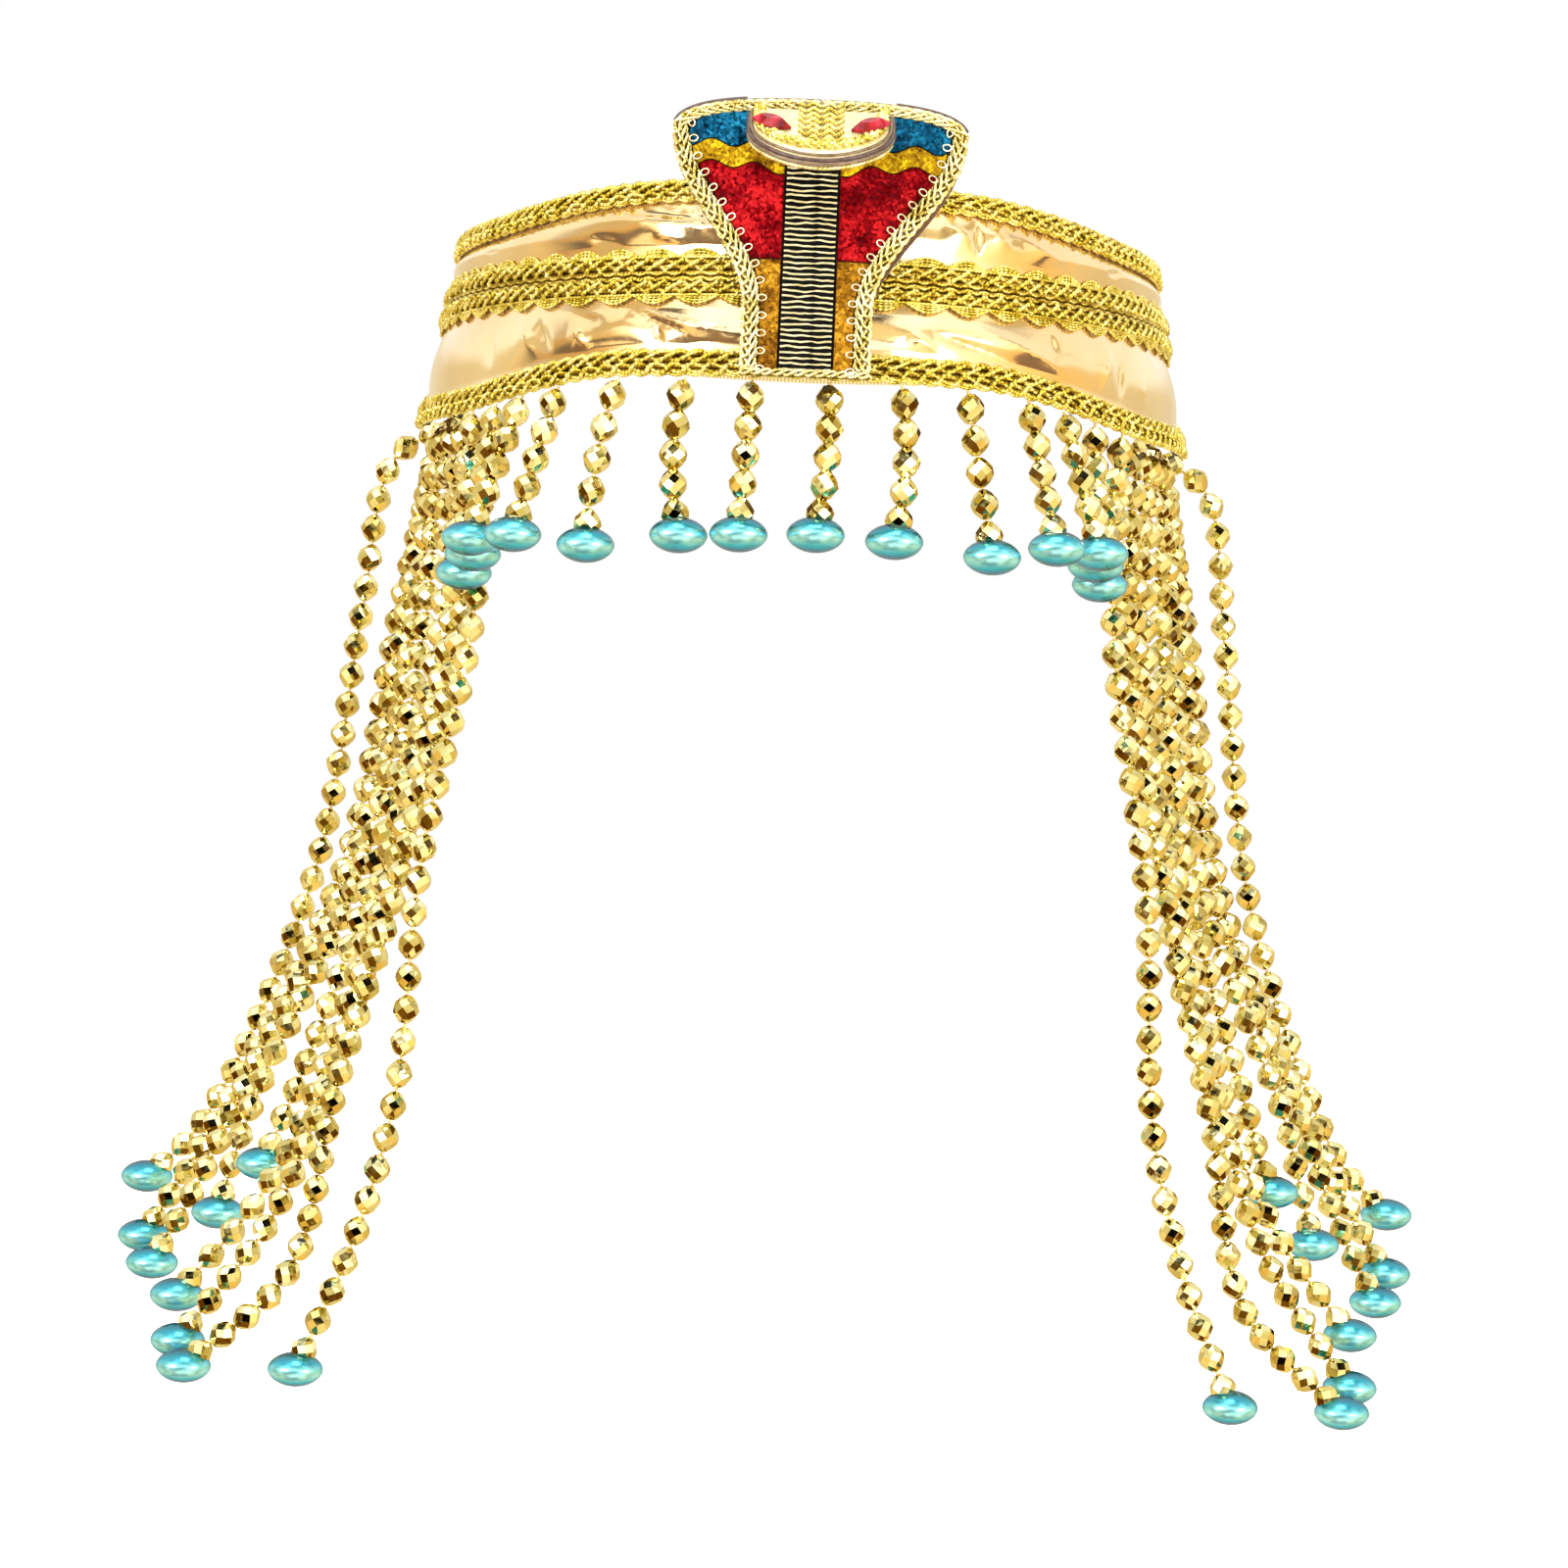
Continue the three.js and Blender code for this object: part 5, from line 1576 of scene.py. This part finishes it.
def make_head_stitches(material, shade):
    """The chevron stitches down the head's middle, and dark yarns under them as painted shade."""
    strokes = []
    for middle, reach in HEAD_STITCH_COLUMNS:
        for row in range(HEAD_STITCH_ROWS):
            forward = mix(HEAD_STITCH_START, HEAD_STITCH_END, row / (HEAD_STITCH_ROWS - 1))
            for side in (-1, 1):
                stroke = []
                for share in (0, 0.5, 1):
                    x = middle + side * reach * (1 - share)
                    stroke.append(head_point(x, forward + HEAD_STITCH_SLOPE * share, -HEAD_STITCH_SINK))
                strokes.append(stroke)
    shares = [step / HEAD_SHADE_STEPS for step in range(HEAD_SHADE_STEPS + 1)]
    spine = [head_point(0, mix(0, HEAD_SHADE_END, share), -HEAD_SHADE_SINK) for share in shares]
    stitches = cord(0, radius=HEAD_STITCH_RADIUS, rise=0)
    under = ground([middle for middle, reach in HEAD_STITCH_COLUMNS], radius=1, rise=0)
    for name, lines, yarns, values in (
        ("head_stitches", strokes, stitches, {"Repeats": 1, "Material": material}),
        ("head_stitch_ground", [spine], under, {"Repeats": HEAD_SHADE_REPEATS, "Ground": shade}),
    ):
        count = sum(len(line) for line in lines)
        path = guide(lines, outward=[HEAD_SLOPE] * count, upward=[Vector((1, 0, 0))] * count)
        set_braid(name, path, yarns, "gold_braid", "head_braid", **values)


def make_head_edges(coats):
    """The plait round the head's edge and the piping on its lip."""
    for name, inset, above, radius in HEAD_EDGES:
        plaited = name == HEAD_PLAIT
        share = 1 - inset / HEAD_HALF_WIDTH
        points = [head_point(x * share, forward * share, above) for x, forward in head_outline()]
        outward = []
        inward = []
        for before, after in zip([points[0], *points], [*points[1:], points[-1]]):
            square = HEAD_SLOPE.cross(after - before).normalized()
            outward.append(HEAD_SLOPE if plaited else -square)
            inward.append(square if plaited else HEAD_SLOPE)
        path = guide([points], outward=outward, upward=inward)
        values = {"Repeats": round(line_length(points) / HEAD_PLAIT_REPEAT), "Material": coats[name]}
        if plaited:
            yarns = plait(0, width=0.8, radius=radius, rise=0.2)
            set_braid(name, path, yarns, "gold_braid", "head_braid", **values)
        else:
            set_braid(name, path, cord(0, radius, rise=0), "head_cloth", "cobra_head", **values)


def make_eye(side, sign, material):
    """A pointed oval gem with a flat table and a ring of facets."""
    shares = [step / EYE_STEPS for step in range(EYE_STEPS)]
    curve = [(EYE_LENGTH * (s - 0.5), 2 * EYE_WIDTH * s * (1 - s)) for s in shares]
    outline = [(x, -y) for x, y in curve] + [(-x, y) for x, y in curve]
    count = len(outline)
    points = [Vector((x, y, 0)) for x, y in outline]
    points += [Vector((x, y, EYE_GIRDLE * EYE_HEIGHT)) for x, y in outline]
    for place in range(count):
        here = Vector(outline[place])
        after = Vector(outline[(place + 1) % count])
        table = (here + after) / 2
        points.append(Vector((table.x * EYE_TABLE[0], table.y * EYE_TABLE[1], EYE_HEIGHT)))
    faces = [list(reversed(range(count))), list(range(2 * count, 3 * count))]
    for place in range(count):
        after = (place + 1) % count
        faces.append([place, after, count + after, count + place])
        faces.append([count + place, count + after, 2 * count + place])
        faces.append([2 * count + place, count + after, 2 * count + after])
    lean = Matrix.Rotation(math.atan(HEAD_DROP), 3, "X")
    turn = lean @ Matrix.Rotation(sign * math.radians(EYE_TURN), 3, "Z")
    seat = head_point(sign * EYE_SIDE, EYE_FORWARD, -EYE_SINK)
    mesh = bpy.data.meshes.new(f"eye_gem_{side}")
    mesh.from_pydata([(seat + turn @ point) * MM for point in points], [], faces)
    mesh.materials.append(material)
    set_piece(mesh.name, mesh, [f"eye_{side}"])


# Bead strands

def bead_mesh():
    """A faceted bead round the Z axis: five rows of flat rhombs between two small mouths."""
    half = math.pi / BEAD_SIDES
    squeeze = math.cos(half)
    shoulder = BEAD_RADIUS * squeeze
    neck = BEAD_RADIUS - (BEAD_RADIUS - shoulder * squeeze) * BEAD_NECK / BEAD_SHOULDER
    fall = (shoulder - neck * squeeze) / (BEAD_NECK - BEAD_SHOULDER)
    mouth = BEAD_NECK + (neck * squeeze - BEAD_HOLE) / fall
    rings = (
        (BEAD_HOLE, -mouth), (neck, -BEAD_NECK), (shoulder, -BEAD_SHOULDER), (BEAD_RADIUS, 0),
        (shoulder, BEAD_SHOULDER), (neck, BEAD_NECK), (BEAD_HOLE, mouth),
    )
    points = []
    for ring, (radius, height) in enumerate(rings):
        for side in range(BEAD_SIDES):
            angle = half * (2 * side + ring % 2)
            points.append(Vector((radius * math.cos(angle), radius * math.sin(angle), height)) * MM)

    def at(ring, side):
        return ring * BEAD_SIDES + side % BEAD_SIDES

    last = len(rings) - 1
    sides = range(BEAD_SIDES)
    faces = [[at(last, side) for side in sides], [at(0, side) for side in reversed(sides)]]
    for side in sides:
        faces.append([at(0, side), at(0, side + 1), at(1, side)])
        faces.append([at(last - 1, side), at(last, side + 1), at(last, side)])
        for ring in range(last - 1):
            right = side + ring % 2
            faces.append([at(ring, side), at(ring + 1, right), at(ring + 2, side), at(ring + 1, right - 1)])
    mesh = bpy.data.meshes.new("bead")
    mesh.from_pydata(points, [], faces)
    return mesh


def sewn_point(angle, out):
    return ring_point(angle, lower_edge(angle) - SEW_DROP, out)


def fringe_path(row):
    angle, x, y, z, bow = row
    top = sewn_point(angle, FRINGE_OUT)
    end = Vector((x, y, z))
    middle = (top + end) / 2 + Vector((2 * bow, 0, 0))
    shares = [step / FRINGE_STEPS for step in range(FRINGE_STEPS + 1)]
    return [top * (1 - s) ** 2 + middle * 2 * s * (1 - s) + end * s * s for s in shares]


def side_path(row, index, sign):
    """A side strand's way down: straight out of the edge, then through its heights to its pearl."""
    angle, spring, upper, middle, lower, bend_x, bend_z, end_x, end_z = row
    if sign > 0:
        share = smooth_step(end_z, *RIGHT_LIFT_FADE)
        bend_x += RIGHT_SHIFT * share
        end_x += RIGHT_SHIFT * share
        bend_z += RIGHT_LIFT * share
        end_z += RIGHT_LIFT * share
    top = sewn_point(sign * angle, SIDE_OUT)
    start = abs(top.x)
    end_y = SIDE_END_BACK - SIDE_END_STEP * index
    stations = [
        (start, top.z), (start, top.z - SIDE_STRAIGHT),
        (mix(start, upper, SIDE_NECK_SHARE) + spring, SIDE_NECK_Z),
        *zip((upper, middle, lower), SIDE_HEIGHTS), (bend_x, bend_z), (end_x, end_z),
    ]
    points = []
    for x, z in stations:
        y = mix(top.y, end_y, (top.z - z) / (top.z - end_z))
        points.append(Vector((sign * x, y, z)))
    return smooth_path(points, SIDE_STEPS)


def make_strands(name, node_start, paths, counts, seed, gold, thread, pearl):
    """Beads on their threads, and a pearl at each one's end."""
    nodes = [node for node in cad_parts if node.startswith(node_start)]
    bead = new_object("bead", bead_mesh())
    beads = [float(count) for path, count in zip(paths, counts) for point in path]
    mesh = grown(f"{name}_beads", guide(paths, beads=beads), STRAND_TREE, {
        "Bead": bead, "First bead": FIRST_BEAD * MM, "Last bead": LAST_BEAD_TO_PEARL * MM,
        "Thread radius": THREAD_RADIUS * MM, "Tilt": math.radians(BEAD_TILT), "Seed": seed,
        "Thread material": thread, "Material": gold,
    })
    bpy.data.objects.remove(bead)
    set_piece(f"{name}_beads", mesh, nodes)
    mesh = grown(f"{name}_pearls", guide([[path[-1]] for path in paths]), PEARL_TREE, {
        "Radius": PEARL_RADIUS * MM, "Half height": PEARL_HALF_HEIGHT * MM, "Edge": PEARL_EDGE,
        "Material": pearl,
    })
    set_piece(f"{name}_pearls", mesh, nodes)


def make_all_strands(gold, thread, pearl):
    fringe = [fringe_path(row) for row in FRINGE_ROWS]
    counts = [FRINGE_BEADS] * len(fringe)
    make_strands("fringe", "fringe_strand", fringe, counts, FRINGE_SEED, gold, thread, pearl)
    ends = FIRST_BEAD + LAST_BEAD_TO_PEARL
    for side, sign in SIDES:
        paths = [side_path(row, index, sign) for index, row in enumerate(SIDE_ROWS)]
        pitches = [SIDE_PITCH + PITCH_SPREAD * math.cos(PITCH_TURN * index) for index in range(len(paths))]
        counts = [round((line_length(path) - ends) / pitch) + 1 for path, pitch in zip(paths, pitches)]
        seed = SIDE_SEED + sign
        make_strands(f"side_{side}", f"side_strand_{side}", paths, counts, seed, gold, thread, pearl)


# Studio

def make_camera():
    data = bpy.data.cameras.new("camera")
    data.sensor_width = SENSOR
    data.lens = SENSOR * FOCAL_PIXELS / IMAGE_PIXELS
    data.clip_end = 20
    camera = new_object("camera", data)
    turn = Matrix.Rotation(math.radians(-CAMERA_ROLL), 4, "Y") @ Matrix.Rotation(math.pi / 2, 4, "X")
    camera.matrix_world = Matrix.Translation(Vector(CAMERA_PLACE) * MM) @ turn
    bpy.context.scene.camera = camera


def make_floor():
    turns = [2 * math.pi * side / FLOOR_SIDES for side in range(FLOOR_SIDES)]
    points = [(FLOOR_RADIUS * math.cos(t), FLOOR_RADIUS * math.sin(t), FLOOR_LEVEL * MM) for t in turns]
    mesh = bpy.data.meshes.new("floor")
    mesh.from_pydata(points, [], [list(range(FLOOR_SIDES))])
    mesh.materials.append(painted_floor())
    floor = new_object("floor", mesh)
    floor.visible_glossy = False


def make_light(name, azimuth, elevation, size, power):
    """A soft box that faces the headdress, placed by angles from the camera's side."""
    data = bpy.data.lights.new(name, "AREA")
    data.shape = "SQUARE"
    data.size = size
    data.energy = power
    light = new_object(name, data)
    turn = math.radians(azimuth)
    rise = math.radians(elevation)
    level = math.cos(rise)
    away = Vector((math.sin(turn) * level, -math.cos(turn) * level, math.sin(rise)))
    light.location = away * LAMP_DISTANCE
    light.rotation_euler = away.to_track_quat("Z", "Y").to_euler()
    light.visible_camera = False


def make_world():
    """A white room with dark gaps: rows of brightness round the headdress, at four heights."""
    world = bpy.data.worlds.new("studio")
    world.use_nodes = True
    bpy.context.scene.world = world
    tree = world.node_tree
    direction = add(tree, "ShaderNodeTexCoord").outputs["Generated"]
    parts = add(tree, "ShaderNodeSeparateXYZ", {0: direction})
    front = add(tree, "ShaderNodeMath", {0: parts.outputs["Y"], 1: -1}, operation="MULTIPLY")
    side = add(tree, "ShaderNodeMath", {0: parts.outputs["X"]}, operation="ABSOLUTE")
    turn = add(tree, "ShaderNodeMath", {0: side, 1: front}, operation="ARCTAN2")
    share = add(tree, "ShaderNodeMath", {0: turn, 1: math.pi}, operation="DIVIDE")
    rows = []
    for stops in WORLD_ROWS:
        places = [(angle / 180, colour) for angle, colour in stops]
        rows.append(add(tree, "ShaderNodeValToRGB", {0: share}, stops=places))
    # A mix of colours takes them in places 6 and 7, and its result comes out in place 2.
    colour = rows[0]
    for row, (low, high) in zip(rows[1:], WORLD_STEPS):
        blend = add(
            tree, "ShaderNodeMapRange", {0: parts.outputs["Z"], "From Min": low, "From Max": high},
            interpolation_type="SMOOTHSTEP",
        )
        colour = add(tree, "ShaderNodeMix", {0: blend, 6: colour, 7: row}, data_type="RGBA").outputs[2]
    patches = add(
        tree, "ShaderNodeTexNoise",
        {
            "Vector": direction, "W": PATCH_SEED, "Scale": PATCH_SCALE, "Detail": 1,
            "Distortion": PATCH_DISTORTION,
        },
        noise_dimensions="4D",
    )
    stops = ((PATCH_LEVEL, "#0A0602"), (PATCH_LEVEL + PATCH_EDGE, "#FFFFFF"))
    gaps = add(tree, "ShaderNodeValToRGB", {0: patches}, stops=stops)
    height = add(tree, "ShaderNodeMapRange", {0: parts.outputs["Z"], "From Min": -1})
    free = add(tree, "ShaderNodeValToRGB", {0: height}, stops=PATCH_FREE)
    behind = add(tree, "ShaderNodeValToRGB", {0: share}, stops=PATCH_BEHIND)
    kept = gaps
    for mask in (free, behind):
        kept = add(
            tree, "ShaderNodeMix", {0: 1, 6: kept, 7: mask}, data_type="RGBA", blend_type="LIGHTEN"
        ).outputs[2]
    colour = add(
        tree, "ShaderNodeMix", {0: 1, 6: colour, 7: kept}, data_type="RGBA", blend_type="MULTIPLY"
    ).outputs[2]
    room = add(tree, "ShaderNodeBackground", {"Color": colour, "Strength": WORLD_STRENGTH})
    plain = add(tree, "ShaderNodeBackground", {"Color": linear("#FFFFFF"), "Strength": 1})
    seen = add(tree, "ShaderNodeLightPath").outputs["Is Camera Ray"]
    shown = add(tree, "ShaderNodeMixShader", {0: seen, 1: room, 2: plain})
    fill(tree, tree.nodes["World Output"], {0: shown})


def make_studio():
    make_camera()
    make_floor()
    make_world()
    for lamp in LAMPS:
        make_light(*lamp)
    bpy.context.scene.view_settings.view_transform = "Standard"


# The headdress

YARN_TREE = yarn_tree()
STRAND_TREE = strand_tree()
PEARL_TREE = pearl_tree()
PICOT_TREE = picot_tree()


def make_cobra():
    gold = metal_yarn("pale_gimp", "#C4AC52", "#F0E498", "#FFF8CE")
    # A darker copy of the pale gimp for the yarns under the loops: painted shade in the braids' holes.
    shade = metal_yarn("shaded_pale_gimp", "#4A360E", "#7E6428", "#A0843A")
    coats = {"Material": gold, "Ground": shade}
    picot = metal_yarn("picot_yarn", "#D9C080", "#F6EAC0", "#FFFCEC")
    mauve = satin("mauve_satin", "#3A2822", "#604640", 0.1)
    silver = satin("silver_satin", "#5A4836", "#8A7254", 0.3)
    black = satin("black_satin", "#040404", "#0C0A0A", 0, 0.06)
    make_belly(black, satin("ivory_cord", "#C0B078", "#F0E6BC", 0.35))
    cloths = {
        "orange_cloth": glitter_cloth("orange_glitter", "#56340A", "#8C5E0E", "#C08E28", 0.35),
        "red_cloth": glitter_cloth("red_glitter", "#460004", "#720008", "#B41A1E", 0.35),
        "yellow_cloth": glitter_cloth("yellow_glitter", "#4A2C04", "#96700A", "#D0B01A", 0.25),
        "blue_cloth": glitter_cloth("blue_glitter", "#011E30", "#044464", "#1A7094", 0.35),
    }
    red = red_acrylic()
    patches = []
    for side, sign in SIDES:
        for panel in PANELS:
            patches += make_panel(panel, side, sign, cloths[panel[3]])
        make_hood_braid(side, sign, coats)
        make_picots(side, sign, picot)
        make_hood_piping(side, sign, {"Material": mauve, "Ground": black})
        make_eye(side, sign, red)
    # Its dark brown shows on the right of the flare, partly as the felt's edge and partly as a painted
    # shadow line.
    make_hood(brushed_felt("brown_felt", "#3A200C", "#66401C"))
    make_hood_foot(coats)
    make_head(satin("pale_gold_satin", "#D4BC80", "#F0E2B8", 0.4))
    head_gold = metal_yarn("head_gimp", "#B09830", "#E0D058", "#FBF4A8")
    make_head_stitches(head_gold, shade)
    make_head_edges({
        HEAD_PLAIT: head_gold, "lip_upper": silver, "lip_mauve": mauve, "lip_silver": silver,
        "lip_black": black, "lip_cream": gold,
    })


make_band(foil_lame(), cotton_lining())
make_band_braids({
    "Material": metal_yarn("gold_gimp", "#A68A1C", "#DCC846", "#F8EC9A"),
    # The shaded gimp is a darker copy of the gold gimp: painted shade in the braids' holes.
    "Ground": metal_yarn("shaded_gimp", "#6A4E10", "#987822", "#BA9C36"),
})
make_elastic(elastic_webbing())
make_cobra()
make_all_strands(metallised_acrylic(), nylon_thread(), pearlised_acrylic())
make_studio()
